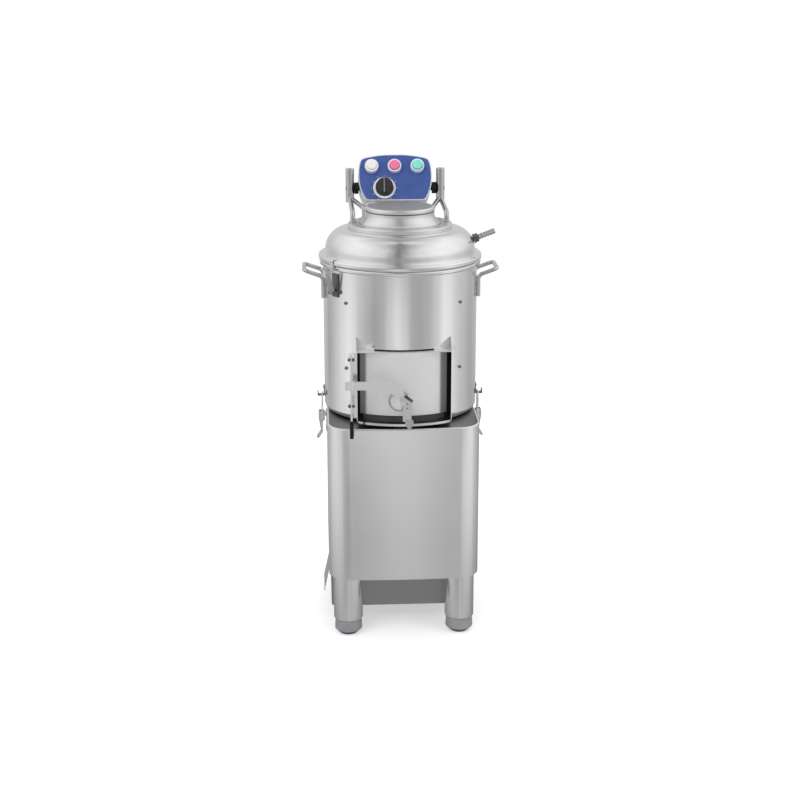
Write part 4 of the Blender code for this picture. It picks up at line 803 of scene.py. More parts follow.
# Waste tray, its rails, the drive and the rest inside keep the shapes of their nodes, with softened edges
# the tray and its rails carry painted shade in their darker steel
dressed = {
    "waste_tray": ("traySteel", "satin_steel", 0.0006), "tray_rail_front": ("traySteel", "satin_steel", 0.0003),
    "tray_rail_rear": ("traySteel", "satin_steel", 0.0003),
    "drum_floor": ("spunSteel", "polished_steel", 0.0004), "drain_pipe": ("tubeSteel", "tube_steel", 0.0),
    "drive_shaft": ("machineIron", "machine_iron", 0.0005),
    "motor_pulley": ("machineIron", "machine_iron", 0.0004),
    "bearing_housing": ("machineIron", "machine_iron", 0.0006), "motor": ("motorPaint", "motor_paint", 0.0005),
    "drive_belt": ("beltRubber", "black_rubber", 0.0005)}
for name, look in dressed.items():
    piece = dressedCopy(name, *look)
    if name == "waste_tray":      # its grip at the left is brighter
        refinish(piece, "fittingSteel", lambda normal, spot: spot.x < standLow.x - 0.0005)
print("stand, legs, tray and drive made")

# Drum, liner and abrasive disc
drumLook = {"wall": 0.002, "foot": 0.022, "flange": 0.150, "rim": 0.188, "steps": 192}
windowSize = {"half": 0.092, "low": deckTop + 0.029, "high": deckTop + 0.159}


def cutWindow(item):
    half, low, high = windowSize.values()
    carve(item, block((-half, -0.3, low), (half, 0, high)))


def makeDrum(wall, foot, flange, rim, steps):
    low, high, radius = drumLow.z, drumHigh.z, drumRadius
    under = high - rimHeight
    shape = softOutline([
        (flange, low, 0.0006), (radius, low, foot), (radius, under, 0.0016), (rim, under, 0.0027),
        (rim, high, 0.0030), (radius - wall, high, 0.0008), (radius - wall, low + wall, foot - wall),
        (flange, low + wall, 0.0006)], 8)
    shell = newItem("drumShell", lathe(shape, steps))
    cutWindow(shell)
    finishItem(shell, "spunSteel", "machine", ("drum_shell",), 34)


makeDrum(**drumLook)

linerLook = {"thick": 0.004, "steps": 144}


def makeLiner(thick, steps):
    low, high = aboutAxis("wall_liner")
    outer = high.x
    shape = softOutline([(outer - thick, low.z, 0.001), (outer, low.z), (outer, high.z),
                         (outer - thick, high.z, 0.001)], 3)
    liner = newItem("wallLinerCoat", lathe(shape, steps))
    cutWindow(liner)
    finishItem(liner, "gritCoat", "machine", ("wall_liner",), 34)


makeLiner(**linerLook)

discLook = {"radius": 0.1705, "thick": 0.010, "bore": 0.0128, "bossRadius": 0.030, "waveHeight": 0.012,
            "waves": 3.0, "steps": 120, "grain": 0.00085, "density": 46000.0}
discRings = (0.998, 0.97, 0.93, 0.88, 0.83, 0.78, 0.72, 0.65, 0.58, 0.52, 0.45, 0.38, 0.31, 0.25, 0.18, 0.10,
             0.0)


def makeDisc(radius, thick, bore, bossRadius, waveHeight, waves, steps, grain, density):
    low, high = aboutAxis("abrasive_disc")
    under = high.z - thick - waveHeight
    top = under + thick
    boreTop = aboutAxis("drive_shaft")[1].z + clear
    shape = [(0, boreTop), (bore, boreTop), (bore, low.z), (bossRadius, low.z), (bossRadius, under),
             (radius, under), (radius, top - 0.0004)] + [(radius * share, top) for share in discRings]
    disc = newItem("abrasiveDisc", lathe(shape, steps))
    grow(disc, "waves", {"Radius": radius, "Waves": waves, "Wave Height": waveHeight,
                         "Face Height": top - 0.0002, "Middle Y": axisY}, "gritCoat")
    grains = linked("discGrains", disc.data.copy())
    grow(grains, "grains", {"Density": density, "Grain": grain, "Seed": 4}, "gritCoat")
    finishItem(disc, "gritCoat", "disc", ("abrasive_disc",), 34)
    finishItem(grains, "gritCoat", "disc", sharp=50)


makeDisc(**discLook)
print("drum, liner and disc made")

# Outlet chute: a bent sheet with round lower corners, a turned-up lip, a ledge and a hinge flange
chuteLook = {"half": 0.1065, "sheet": 0.0015, "front": 0.208, "corner": 0.0075, "lip": 0.0055, "ledge": 0.1816,
             "edge": 0.0003}
earRises, earHalf = (0.052, 0.1594), 0.0058
chuteLow = deckTop + 0.007
chuteTop = chuteLow + 0.166
chutePeak = chuteTop + 0.028
hinge = ((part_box("hinge_rod")[0].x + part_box("hinge_rod")[1].x) / 2,
         (aboutAxis("hinge_rod")[0].y + aboutAxis("hinge_rod")[1].y) / 2)
hingeFrame = Matrix.Translation((*hinge, 0))


def drumProfile(off):
    # the drum's outer face, its rounded foot included, as a solid to cut with
    foot = drumLook["foot"]
    radius, low = drumRadius + off, drumLow.z
    bend = [(radius - foot - off + (foot + off) * cos(t), low + foot + (foot + off) * sin(t))
            for t in [-pi / 2 + pi / 2 * k / 8 for k in range(9)]]
    top = drumHigh.z - 0.012
    return [(0, low - 0.004), (radius - foot - off, low - 0.004)] + bend + [(radius, top), (0, top)]


def makeChute(half, sheet, front, corner, lip, ledge, edge):
    outer = half + sheet
    joint = -sqrt(drumRadius ** 2 - half ** 2)
    cheekFront = -sqrt(front ** 2 - half ** 2)
    trough = newItem("chuteFrame", plate([
        (-outer, chuteLow, corner), (outer, chuteLow, corner), (outer, chutePeak), (half, chutePeak),
        (half, chuteLow + sheet, corner - sheet), (-half, chuteLow + sheet, corner - sheet), (-half, chutePeak),
        (-outer, chutePeak)], 7, 0.10, front + 0.007, sideFrame))
    carve(trough, rod(front, chuteLow - 0.01, chutePeak + 0.01, 256), "INTERSECT")
    before = cheekFront - 0.02
    slope = [(before, chuteTop - 0.02 * (chutePeak - chuteTop) / (joint - cheekFront)), (joint, chutePeak),
             (joint, chutePeak + 0.02), (before, chutePeak + 0.02)]
    carve(trough, prism(slope, -outer - 0.01, outer + 0.01, crossFrame))
    # the lip follows the floor's curved front edge and runs up round both corners
    across = asin((half - corner * 0.25) / front)
    low, outside, inside = chuteLow + sheet / 2, front - 0.0001, front - sheet
    band = [(inside, low), (outside, low), (outside, chuteLow + lip), (inside, chuteLow + lip)]
    lipItem = newItem("lipBand", sector(band, -pi / 2 - across, -pi / 2 + across, 72))
    reach, bottom = outer - 0.0001, chuteLow + 0.0001
    carve(lipItem, plate([(-reach, bottom, corner), (reach, bottom, corner), (reach, chutePeak),
                          (-reach, chutePeak)], 7, 0.10, front + 0.007, sideFrame), "INTERSECT")
    shelf = block((-half - sheet / 2, -ledge, chuteTop), (half + sheet / 2, -0.116, chuteTop + sheet))
    flange = block((-outer - 0.0125, cheekFront, chuteLow + 0.014),
                   (-half - clear, cheekFront + sheet, chuteTop - 0.0005))
    parts = [lipItem, newItem("shelf", shelf), newItem("flange", flange)]
    x, y = hinge
    for z in (chuteLow + rise for rise in earRises):
        parts.append(newItem("ear", plate([
            (x - 0.006, y - 0.006, 0.0045), (x + 0.006, y - 0.006, 0.0045), (x + 0.006, cheekFront + sheet / 2),
            (x - 0.006, cheekFront + sheet / 2)], 6, z - earHalf, z + earHalf)))
    for part in parts:
        carve(trough, taken(part), "UNION", Matrix())
    carve(trough, rod(hingePinBore, chuteLow - 0.05, chuteTop + 0.05, 32, hingeFrame))
    carve(trough, lathe(drumProfile(clear), 256))
    finishItem(roundEdges(trough, edge, 2, 40), "foldedSteel", "machine", ("chute_frame",), 34)

    def cheekInside(normal, spot):
        return normal.x * spot.x < -0.09 and abs(spot.x) < half + 0.0004 and spot.z > chuteTop

    # painted shade: the floor gets a dark finish for the door's shade; painted light: the ledge and the cheeks above
    # it get a lighter, rougher finish
    refinish(trough, "boltSteel", lambda normal, spot: normal.z > 0.8 and spot.z < chuteLow + 0.004)
    refinish(trough, "foldBright", cheekInside)
    refinish(trough, "foldBright", lambda normal, spot: normal.z > 0.8 and spot.z > chuteTop)


shadeSealLook = {"inside": 0.1802, "outside": 0.1806, "reach": 0.1062, "beadRise": 0.0032, "beadDepth": 0.0014,
            "bead": 22}


def makeShadeSeals(inside, outside, reach, beadRise, beadDepth, bead):
    # painted shade: dark strips shaped as rubber seals, on the drum beside the window, as a sill under it, and as a
    # bead in the corner over the ledge
    def band(low, high):
        return [(inside, low), (outside, low), (outside, high), (inside, high)]

    near, far = asin((windowSize["half"] + 0.0005) / inside), asin(reach / inside)
    strip = band(chuteLow + 0.003, chuteTop - 0.001)
    sides = [sector(strip, -pi / 2 + a, -pi / 2 + b, 8) for a, b in ((-far, -near), (near, far))]
    newPiece("windowSeal", gather(*sides), "gripBlack", "machine")
    sill = sector(band(chuteLow + 0.003, windowSize["low"] - 0.0006), -pi / 2 - near + 0.001,
                  -pi / 2 + near - 0.001, 40)
    newPiece("windowSill", sill, "sillGrey", "machine")
    low = chuteTop + 0.0018
    corner = softOutline([(inside, low), (inside + beadDepth, low, 0.0005), (inside, low + beadRise)], 3)
    newPiece("ledgeBead", sector(corner, -pi / 2 - radians(bead), -pi / 2 + radians(bead), 48), "gripBlack",
             "machine")


makeShadeSeals(**shadeSealLook)
makeChute(**chuteLook)

rodLook = {"radius": 0.0025, "gripRadius": 0.0044, "gripTop": 0.015}


def makeHingeRod(radius, gripRadius, gripTop):
    low, high = aboutAxis("hinge_rod")
    core = radius - 0.0006
    top = chuteLow + gripTop
    newPiece("hingeRod", turned([(0, low.z), (core, low.z), (core, top + clear), (radius, top + clear),
                                 (radius, high.z, 0.0008), (0, high.z)], 4, 32, hingeFrame), "tubeSteel",
             "machine", ("hinge_rod",))
    bottom = aboutAxis("rod_grip")[0].z
    bore = core + clear
    newPiece("rodGrip", turned([(0, bottom), (gripRadius, bottom, 0.0012), (gripRadius, top, 0.0008),
                                (bore, top), (bore, low.z - clear), (0, low.z - clear)], 4, 40, hingeFrame),
             "gripBlack", "machine", ("rod_grip",))


makeHingeRod(**rodLook)

# Outlet door with its strap, hub and swing handle
doorLook = {"inner": 0.1808, "sheet": 0.0024, "leftEdge": 0.099, "rightEdge": 0.097, "lift": 0.0025,
            "gap": 0.0006, "edge": 0.0005}
strapLook = {"back": 0.2115, "sheet": 0.003, "hubX": -0.003, "hubUp": 0.055, "discX": -0.0118, "discUp": 0.053,
             "disc": 0.0222, "stud": 0.008, "pin": 0.004, "height": 0.020, "right": 0.0075, "left": -0.0035,
             "knuckle": 0.0062, "tail": 0.0143, "middle": 0.098, "foot": 0.042, "edge": 0.0004}
strapBend = ((-0.030, 0.0775, 0.03), (-0.012, 0.0725, 0.02), (0.0177, 0.0600, 0.002), (0.0185, 0.0635, 0.002),
             (0.0002, 0.0777, 0.03), (-0.0150, 0.0930, 0.02), (-0.026, 0.0995, 0.03))
shadeBarCorners = ((0.0008, 0.0765), (-0.0018, 0.0728), (0.0158, 0.0585), (0.0178, 0.0625))


def makeDoor(inner, sheet, leftEdge, rightEdge, lift, gap, edge):
    low = aboutAxis("outlet_door")[0]
    outer = inner + sheet
    left, right = asin(leftEdge / inner), asin(rightEdge / inner)
    bottom = low.z + lift
    top = chuteTop - gap
    curved = [(inner, bottom), (outer, bottom), (outer, top), (inner, top)]
    newPiece("outletDoorSheet", sector(curved, -pi / 2 - left, -pi / 2 + right, 72), "doorSteel", "door",
             ("outlet_door",), edge)
    return outer


def makeStrap(doorOuter, back, sheet, hubX, hubUp, discX, discUp, disc, stud, pin, height, right, left, knuckle,
              tail, middle, foot, edge):
    mid, footZ, hubZ = chuteLow + middle, chuteLow + foot, chuteLow + hubUp
    low, high, half = mid - height / 2, mid + height / 2, (right - left) / 2
    start = hinge[0] - tail
    arm = [(start, low, 0.003), (-0.055, low, 0.03)]
    arm += [(x, chuteLow + up, soft) for x, up, soft in strapBend[:2]]
    arm += [(left, chuteLow + 0.066, 0.006), (left, footZ + half / 2, 0.004), (left + half / 2, footZ, 0.003),
            (right - half / 2, footZ, 0.003), (right, footZ + half / 2, 0.004), (right, hubZ, 0.004)]
    arm += [(x, chuteLow + up, soft) for x, up, soft in strapBend[2:]]
    arm += [(-0.060, high, 0.05), (start, high, 0.003)]
    strap = newItem("doorStrapArm", plate(arm, 8, back, back + sheet, sideFrame))
    discBack = doorOuter + clear
    pinEnd = -aboutAxis("door_strap")[0].y
    hub = turned([(0, discBack + 0.003), (stud, discBack + 0.003, 0.0012), (stud, back + clear),
                  (pin, back + clear), (pin, pinEnd, 0.0006), (0, pinEnd)], 4, 64,
                 Matrix.Translation((hubX, 0, hubZ)) @ sideFrame)
    roundEdges(strap, edge)
    barrel = [(0, low), (knuckle, low, 0.0008), (knuckle, high, 0.0008), (0, high)]
    carve(strap, turned(barrel, 3, 40, hingeFrame), "UNION")
    carve(strap, hub, "UNION")
    carve(strap, rod(hingePinBore, low - 0.004, high + 0.004, 32, hingeFrame))
    finishItem(strap, "strapSteel", "door", ("door_strap",), 34)
    # painted shadow: the disc behind the hub stands on a thin dark washer that outlines it, and a dark bar of
    # painted shade runs along the strap's bend
    place = Matrix.Translation((discX, 0, chuteLow + discUp)) @ sideFrame
    dish = [(0, discBack), (disc, discBack, 0.0004), (disc, discBack + 0.0030, 0.0010),
            (disc - 0.0032, discBack + 0.0038, 0.002), (0, discBack + 0.0030)]
    newPiece("hubDisc", turned(dish, 4, 72, place), "tubeSteel", "door")
    inner, outer = disc - 0.004, disc + 0.0011
    ring = [(inner, discBack), (outer, discBack), (outer, discBack + 0.0012), (inner, discBack + 0.0012)]
    newPiece("hubWasher", lathe(ring, 72, place), "shadedSteel", "door")
    bar = [(x, chuteLow + up, 0.0008) for x, up in shadeBarCorners]
    newPiece("strapStop", plate(bar, 4, back + sheet - 0.0004, back + sheet + 0.0001, sideFrame), "shadedSteel",
             "door")


makeStrap(makeDoor(**doorLook), **strapLook)

rivetLook = {"Sides": 20, "Head Radius": 0.0024, "Head Height": 0.0004, "Washer Radius": 0.0025,
             "Washer Height": 0.0002, "Dome": 0.45}
handleLook = {"left": -0.0057, "right": 0.0139, "top": 0.019, "fall": 0.0115, "drop": 0.041, "leg": 0.011,
              "sheet": 0.002, "spadeX": 0.0088, "spadeHalf": 0.0096, "spadeTop": 0.0372, "spadeThick": 0.0050,
              "dogX": 0.006, "dogWidth": 0.008, "dogRise": 0.0098, "edge": 0.0005}
spadeShares = ((0.0, 1.0), (0.55, 1.01), (0.88, 0.97), (1.0, 0.80), (0.96, 0.62), (0.74, 0.36), (0.38, 0.11),
               (0.10, 0.005), (0.0, 0.0))


def makeHandle(left, right, top, fall, drop, leg, sheet, spadeX, spadeHalf, spadeTop, spadeThick, dogX, dogWidth,
               dogRise, edge):
    # a plate with a leg down its left side, a hood along its sloping top whose dark finish is painted shade, and a
    # spade to push with
    hubX, hubZ = strapLook["hubX"], chuteLow + strapLook["hubUp"]
    back = strapLook["back"] + strapLook["sheet"] + clear
    face = back + sheet
    corners = ((left, -drop), (left + leg, -drop), (right, -spadeTop), (right, top - fall), (left, top))
    handle = newItem("doorHandleDressed", plate([(x, hubZ + up, 0.001) for x, up in corners], 4, back, face,
                                                sideFrame))
    tip = aboutAxis("door_handle")[0].z
    tall = hubZ - spadeTop - tip
    rightSide = [(spadeX + spadeHalf * across, tip + tall * rise) for across, rise in spadeShares]
    leftSide = [(2 * spadeX - x, z) for x, z in reversed(rightSide[1:-1])]
    # the dog behind it reaches over the chute's lip
    lipTop, dogBack = chuteLow + chuteLook["lip"], chuteLook["front"] - chuteLook["sheet"] - 0.0012 - sheet
    shelf = chuteLow + dogRise
    for part in (prism(rightSide + leftSide, back + sheet / 2, face + spadeThick, sideFrame),
                 block((dogX, -back - sheet / 2, shelf), (dogX + dogWidth, -dogBack, shelf + sheet)),
                 block((dogX, -dogBack - sheet, lipTop + 0.0006),
                       (dogX + dogWidth, -dogBack, shelf + sheet / 2))):
        carve(handle, part, "UNION")
    carve(handle, rod(strapLook["pin"] + clear, back - 0.004, face + 0.004, 32,
                      Matrix.Translation((hubX, 0, hubZ)) @ sideFrame))
    finishItem(roundEdges(handle, edge), "handleSteel", "handle", ("door_handle",), 34)
    front = face + spadeThick - 0.0006
    refinish(handle, "fittingSteel", lambda normal, spot: normal.y < -0.8 and -spot.y > front)
    # painted shade: the hood is dark steel
    end = right + 0.0012
    corners = ((-0.0015, 0.0200), (end, 0.0085), (end, 0.0036), (-0.0029, 0.0160))
    hood = [(x, hubZ + up, 0.0006) for x, up in corners]
    newPiece("handleHood", plate(hood, 3, face - 0.0002, face + 0.0030, sideFrame), "boltSteel", "handle",
             edge=0.0003)
    boltRow("handleRivets", [((0.0045, -face, chuteLow + up), (0, -1, 0)) for up in (0.0455, 0.0555)],
            {**rivetLook, "Head Radius": 0.0014, "Washer Radius": 0.0015}, "handle",
            "shadedSteel")


makeHandle(**handleLook)
print("chute, door and handle made")

# Carry handles
carryLook = {"radius": 0.00475, "half": 0.0425, "reach": 0.2242, "bend": 0.012, "bead": 0.0013,
             "spacing": 0.0022}


def makeCarryHandles(radius, half, reach, bend, bead, spacing):
    top = drumHigh.z - rimHeight
    wall = sqrt(drumRadius ** 2 - half ** 2) + radius + 0.0006
    path = [(wall, -half, top - 0.076), (wall, -half, top - 0.026), (reach, -half, top - 0.010),
            (reach, half, top - 0.010), (wall, half, top - 0.026), (wall, half, top - 0.076)]
    for name, turn in (("Right", 0), ("Left", pi)):
        bm = sweep(bentPath(path, bend, 10), radius, 28, 0.0015)
        bm.transform(Matrix.Rotation(turn, 4, "Z"))
        newPiece("carryHandle" + name, bm, "armSteel", "machine",
                 ("carry_handle_" + name.lower(),))
        lines, about = [], Matrix.Rotation(turn, 3, "Z")
        for y in (side + off for side in (-half, half) for off in (-0.0034, 0.0034)):
            x = sqrt(drumRadius ** 2 - y ** 2) + 0.0002
            lines.append([about @ Vector((x, y, top - 0.074 + 0.046 * k / 8)) for k in range(9)])
        weldRow("carryWeld" + name, lines, {"Bead Radius": bead, "Spacing": spacing, "Seed": 2}, "machine",
                "tubeSteel")


makeCarryHandles(**carryLook)

# Lid: dome, crown, water inlet and the two arms
domeLook = {"wall": 0.002, "brim": 0.190, "brimRise": 0.013, "brimRound": 0.0042, "footRise": 0.0155,
            "hole": 0.100, "steps": 192}
domeShares = ((1.0, 0.10), (0.995, 0.29), (0.978, 0.47), (0.946, 0.64), (0.900, 0.80), (0.842, 0.92),
              (0.774, 0.98), (0.71, 1.0))


def makeDome(wall, brim, brimRise, brimRound, footRise, hole, steps):
    foot, top, radius = lidLow + footRise, lidLow + domeRise, domeRadius
    outer = [(radius * r, foot + (top - foot) * z) for r, z in domeShares]
    inner = [(r - wall, z - wall) for r, z in outer]
    brimLine = softOutline([(radius - wall, lidLow), (brim, lidLow, brimRound),
                            (brim, lidLow + brimRise, brimRound), (radius + 0.0012, lidLow + brimRise, 0.0012),
                            (radius + 0.0002, foot + 0.002)], 7)
    shape = brimLine + throughPoints(outer, 8) + [(hole, top), (hole, top - wall)]
    shape += list(reversed(throughPoints(inner, 6)))
    dome = newItem("lidDome", lathe(shape, steps))
    carve(dome, rod(nippleLook["pipe"] + clear, -0.009, 0.009, 32, inletFrame()))
    finishItem(dome, "spunSteel", "lid", ("lid_dome",), 40)


def inletFrame():
    # on the dome's right side, tipped upwards
    rise = radians(21)
    way = Vector((cos(rise), 0, sin(rise)))
    turn = Vector((0, 0, 1)).rotation_difference(way).to_matrix().to_4x4()
    return Matrix.Translation((domeRadius - 0.004, 0, lidLow + 0.0415)) @ turn


nippleLook = {"bore": 0.004, "pipe": 0.0055, "barb": 0.0068, "nutAcross": 0.0105, "nut": 0.009, "length": 0.055,
              "barbs": 6}
makeDome(**domeLook)

crownLook = {"wall": 0.002, "ringRound": 0.0030, "radius": 0.0798, "rise": 0.039, "soft": 0.0045,
             "flare": 0.0135, "flareRise": 0.024, "groove": 0.0105, "grooveDepth": 0.0009, "steps": 192}


def makeCrown(wall, ringRound, radius, rise, soft, flare, flareRise, groove, grooveDepth, steps):
    low, ring = lidLow + domeRise + clear, ringRadius
    ringTop = lidLow + ringRise
    top = ringTop + rise
    at = top - groove
    neck = [(radius + flare * (1 - k / 8) ** 2.2, ringTop + 0.0004 + flareRise * k / 8) for k in range(9)]
    shape = [(ring, low), (ring, ringTop, ringRound), (radius + flare + 0.002, ringTop, 0.001)] + neck
    shape += [(radius, at - 0.0014), (radius - grooveDepth, at - 0.0005), (radius - grooveDepth, at + 0.0005),
              (radius, at + 0.0014), (radius, top, soft), (0, top), (0, top - wall)]
    shape += [(radius - wall, top - wall, 0.002), (radius - wall, ringTop - wall, 0.004),
              (ring - 2 * wall, ringTop - wall), (ring - wall, low)]
    crown = newPiece("lidCrown", turned(shape, 8, steps), "crownSteel", "lid", ("lid_crown",))

    def onSeam(normal, spot):
        return (radius + flare - 0.001 < hypot(spot.x, spot.y) < radius + flare + 0.0012
                and abs(spot.z - ringTop) < 0.0012)

    def onTop(normal, spot):
        return normal.z > 0.9 and spot.z > top - 0.0005 and hypot(spot.x, spot.y) < radius - soft

    # painted shade: a dark line in the groove, and another where the neck meets the ring
    refinish(crown, "boltSteel", lambda normal, spot: abs(spot.z - at) < 0.0012 and normal.z < 0.9)
    refinish(crown, "boltSteel", onSeam)
    # painted reflection: the cap's flat top gets a darker finish
    refinish(crown, "capSteel", onTop)


makeCrown(**crownLook)


def hexagon(across):
    return [(across * cos(pi / 3 * k), across * sin(pi / 3 * k)) for k in range(6)]


def makeNipple(bore, pipe, barb, nutAcross, nut, length, barbs):
    place = inletFrame()
    low = 0.004
    start = low + nut
    shape = [(bore, -low), (pipe, -low), (pipe, start)]
    step = (length - start) / barbs
    for at in (start + i * step for i in range(barbs)):
        shape += [(pipe, at + clear), (barb, at + step * 0.25), (barb, at + step * 0.35),
                  (pipe, at + step * 0.92)]
    shape += [(pipe - 0.0004, length), (bore, length)]
    item = newItem("inletNipple", lathe(shape, 40, place))
    nutItem = roundEdges(newItem("nut", prism(hexagon(nutAcross), low, start, place)), 0.0006)
    outer = nutAcross + 0.001
    washer = [(pipe, 0.0012), (outer, 0.0012, 0.0004), (outer, low, 0.0004), (pipe, low)]
    joinTo(item, taken(nutItem), turned(washer, 3, 40, toAxis @ place))
    finishItem(item, "fittingSteel", "lid", ("inlet_nipple",), 34)
    base, way = place.translation, place.to_3x3() @ Vector((0, 0, 1))
    refinish(item, "boltSteel", lambda normal, spot: (spot - base).dot(way) < start + 0.0005)


makeNipple(**nippleLook)

armLook = {"above": 0.049, "below": 0.034, "rodRadius": 0.0058, "bend": 0.012, "runRise": 0.022,
           "footIn": 0.0115, "turns": (4.9, 43.0), "footRadius": 0.0075, "footThick": 0.003}


def makeArms(above, below, rodRadius, bend, runRise, footIn, turns, footRadius, footThick):
    ringTop = lidLow + ringRise
    height, run, reach = pivot["height"], ringTop + runRise, ringRadius - footIn
    footLow = ringTop + clear
    for name, way in (("Left", -1), ("Right", 1)):
        x, y = way * pivot["x"], pivot["y"]
        post = [(0, height - below), (pivot["hub"], height - below, 0.0022),
                (pivot["hub"], height + above, 0.0020), (0, height + above)]
        arm = newItem("lidArm" + name, turned(post, 5, 56, Matrix.Translation((x, y, 0))))
        for turn in turns:
            fx, fy = way * reach * cos(radians(turn)), reach * sin(radians(turn))
            path = [(x, y, run + rodRadius), (fx, fy, run), (fx, fy, ringTop + 0.0018)]
            carve(arm, sweep(bentPath(path, bend, 8), rodRadius, 24), "UNION")
            foot = [(0, footLow), (footRadius, footLow, 0.0003), (footRadius, footLow + footThick, 0.0009),
                    (0, footLow + footThick)]
            carve(arm, turned(foot, 3, 40, Matrix.Translation((fx, fy, 0))), "UNION")
        carve(arm, rod(pivot["bore"], -0.03, 0.03, 40,
                       Matrix.Translation((x, y, height)) @ Matrix.Rotation(pi / 2, 4, "Y")))
        finishItem(arm, "armSteel", "lid", ("lid_arm_" + name.lower(),), 40)


makeArms(**armLook)
print("lid made")

# Latch on the lid, and the two clamps that hold the drum to its stand
dressed = {"latch_strip": ("tubeSteel", 0.0003), "latch_base": ("boltSteel", 0.0004),
           "latch_lever": ("clampSteel", 0.0005), "clamp_base_left": ("clampSteel", 0.0004),
           "clamp_base_right": ("clampSteel", 0.0004), "clamp_strike_left": ("boltSteel", 0.0004),
           "clamp_strike_right": ("boltSteel", 0.0004), "clamp_lever_left": ("clampSteel", 0.0007),
           "clamp_lever_right": ("clampSteel", 0.0007)}
for name, (finish, edge) in dressed.items():
    dressedCopy(name, finish, "polished_steel", edge)

clampRise = -0.022      # the clamps' middle, from the deck's top
bailLook = {"radius": 0.0018, "lowOut": 0.0118, "topOut": 0.0060, "half": 0.0125, "inside": 0.0048,
            "bend": 0.004}


def makeBails(radius, lowOut, topOut, half, inside, bend):
    low = deckTop + clampRise - 0.0120
    top = aboutAxis("clamp_strike_right")[0].z + 0.0025 + radius + clear
    a, b = standHalf + lowOut, drumRadius + topOut
    path = [(a, -inside, low), (a, -half, low), (b, -half, top), (b, half, top), (a, half, low),
            (a, inside, low)]
    for name, turn in (("Right", 0), ("Left", pi)):
        bm = sweep(bentPath(path, bend - radius, 6), radius, 18, 0.0006)
        bm.transform(Matrix.Rotation(turn, 4, "Z"))
        node = "clamp_bail_" + name.lower()
        newPiece("clampBail" + name, bm, "tubeSteel", bodyOf[node], (node,))


makeBails(**bailLook)
print("latch and clamps made")

# Control column and head
headLook = {"half": 0.090, "height": 0.119, "tilt": 28.2, "faceY": 0.185, "wall": 0.004, "roomHalf": 0.056,
            "edge": 0.0011}
headShares = ((0.72, 0.0), (0.80, 0.012), (0.845, 0.05), (0.90, 0.14), (0.955, 0.25), (0.985, 0.36), (1.0, 0.50),
              (0.998, 0.62), (0.985, 0.73), (0.965, 0.81), (0.94, 0.865), (0.90, 0.905), (0.82, 0.930),
              (0.66, 0.957), (0.45, 0.982), (0.22, 0.996))
pivotRise = 0.026      # the lid's pivot, above the panel's lower edge
faceLow = pivot["height"] - pivotRise
tilt = radians(headLook["tilt"])
faceFrame = Matrix(((1, 0, 0, 0), (0, sin(tilt), -cos(tilt), headLook["faceY"]),
                    (0, cos(tilt), sin(tilt), faceLow), (0, 0, 0, 1)))


def headOutline(border, fine=5):
    right = [((headLook["half"] - border) * x, border + (headLook["height"] - 2 * border) * up)
             for x, up in headShares]
    line = [p for p in throughPoints(right + [(-right[-1][0], right[-1][1])], fine) if p[0] > -0.0001]
    return line + [(-x, up) for x, up in reversed(line) if x > 0.0001]


def onFace(up, back):
    spot = faceFrame @ Vector((0, up, -back))
    return spot.y, spot.z


def pivotFrame(way):
    # along the lid's pivot, to the right or the left
    return Matrix.Translation((0, pivot["y"], faceLow + pivotRise)) @ Matrix.Rotation(way * pi / 2, 4, "Y")


def makeHead(half, height, tilt, faceY, wall, roomHalf, edge):
    head = newItem("controlHead", prism(headOutline(0), -height, 0, faceFrame))
    rear = aboutAxis("control_box")[1].y
    columnLow, columnHigh = aboutAxis("control_column")
    waist, top = faceLow + 0.025, faceLow + 0.125
    topRear = faceLow - (columnHigh.y - faceY) * tan(radians(tilt))
    side = softOutline([(faceY, faceLow), onFace(height + 0.004, 0), (rear, top, 0.010), (rear, waist, 0.010),
                        (columnHigh.y, topRear)], 6)
    carve(head, prism(side, -half - 0.01, half + 0.01, crossFrame), "INTERSECT")
    roundEdges(head, edge, 3, 40)
    # the room inside goes down into the column
    roomFront, roomRear = columnLow.y + wall, columnHigh.y - 2 * wall
    room = [onFace(wall, wall), onFace(height - 2 * wall, wall), (rear - wall, waist + height / 2),
            (rear - wall, waist + wall), (roomRear, waist - wall), (roomRear, deckTop), (roomFront, deckTop),
            (roomFront, faceLow)]
    carve(head, prism(room, -roomHalf, roomHalf, crossFrame))
    for way in (-1, 1):
        carve(head, rod(pivot["bore"], half - 0.0223, half + 0.01, 32, pivotFrame(way)))
    finishItem(head, "casingPale", "machine", ("control_box",), 40)
    newPiece("controlPanelPlate", prism(headOutline(0.0025), clear, 0.0023, faceFrame), "panelBlue", "machine",
             ("control_panel",), 0.0006)


makeHead(**headLook)
dressedCopy("control_column", "sheetSteel", "satin_steel", 0.0005)

bushLook = {"pin": 0.006, "pinDepth": 0.022, "radius": 0.014}


def makeBushes(pin, pinDepth, radius):
    start = headLook["half"]
    shoulder, end = pivot["x"] - pivot["hub"] - clear, pivot["x"] + pivot["hub"]
    for name, way in (("Left", -1), ("Right", 1)):
        shape = [(0, start - pinDepth), (pin, start - pinDepth), (pin, start + 0.0002),
                 (radius, start + 0.0002, 0.001), (radius, shoulder, 0.001), (pin, shoulder), (pin, end, 0.001),
                 (0, end)]
        newPiece("pivotBush" + name, turned(shape, 4, 48, pivotFrame(way)), "gripBlack", "machine",
                 ("pivot_bush_" + name.lower(),))


makeBushes(**bushLook)

dialLook = {"x": -0.027, "up": 0.031, "radius": 0.0275, "thick": 0.002, "tickRadius": 0.0318, "ticks": 11}
knobLook = {"radius": 0.0222, "topRadius": 0.0194, "height": 0.020, "skirt": 0.005, "soft": 0.0015, "ribs": 36,
            "pointerWidth": 0.005, "pointerHeight": 0.003, "markX": -0.0016}
panelFace = 0.0026


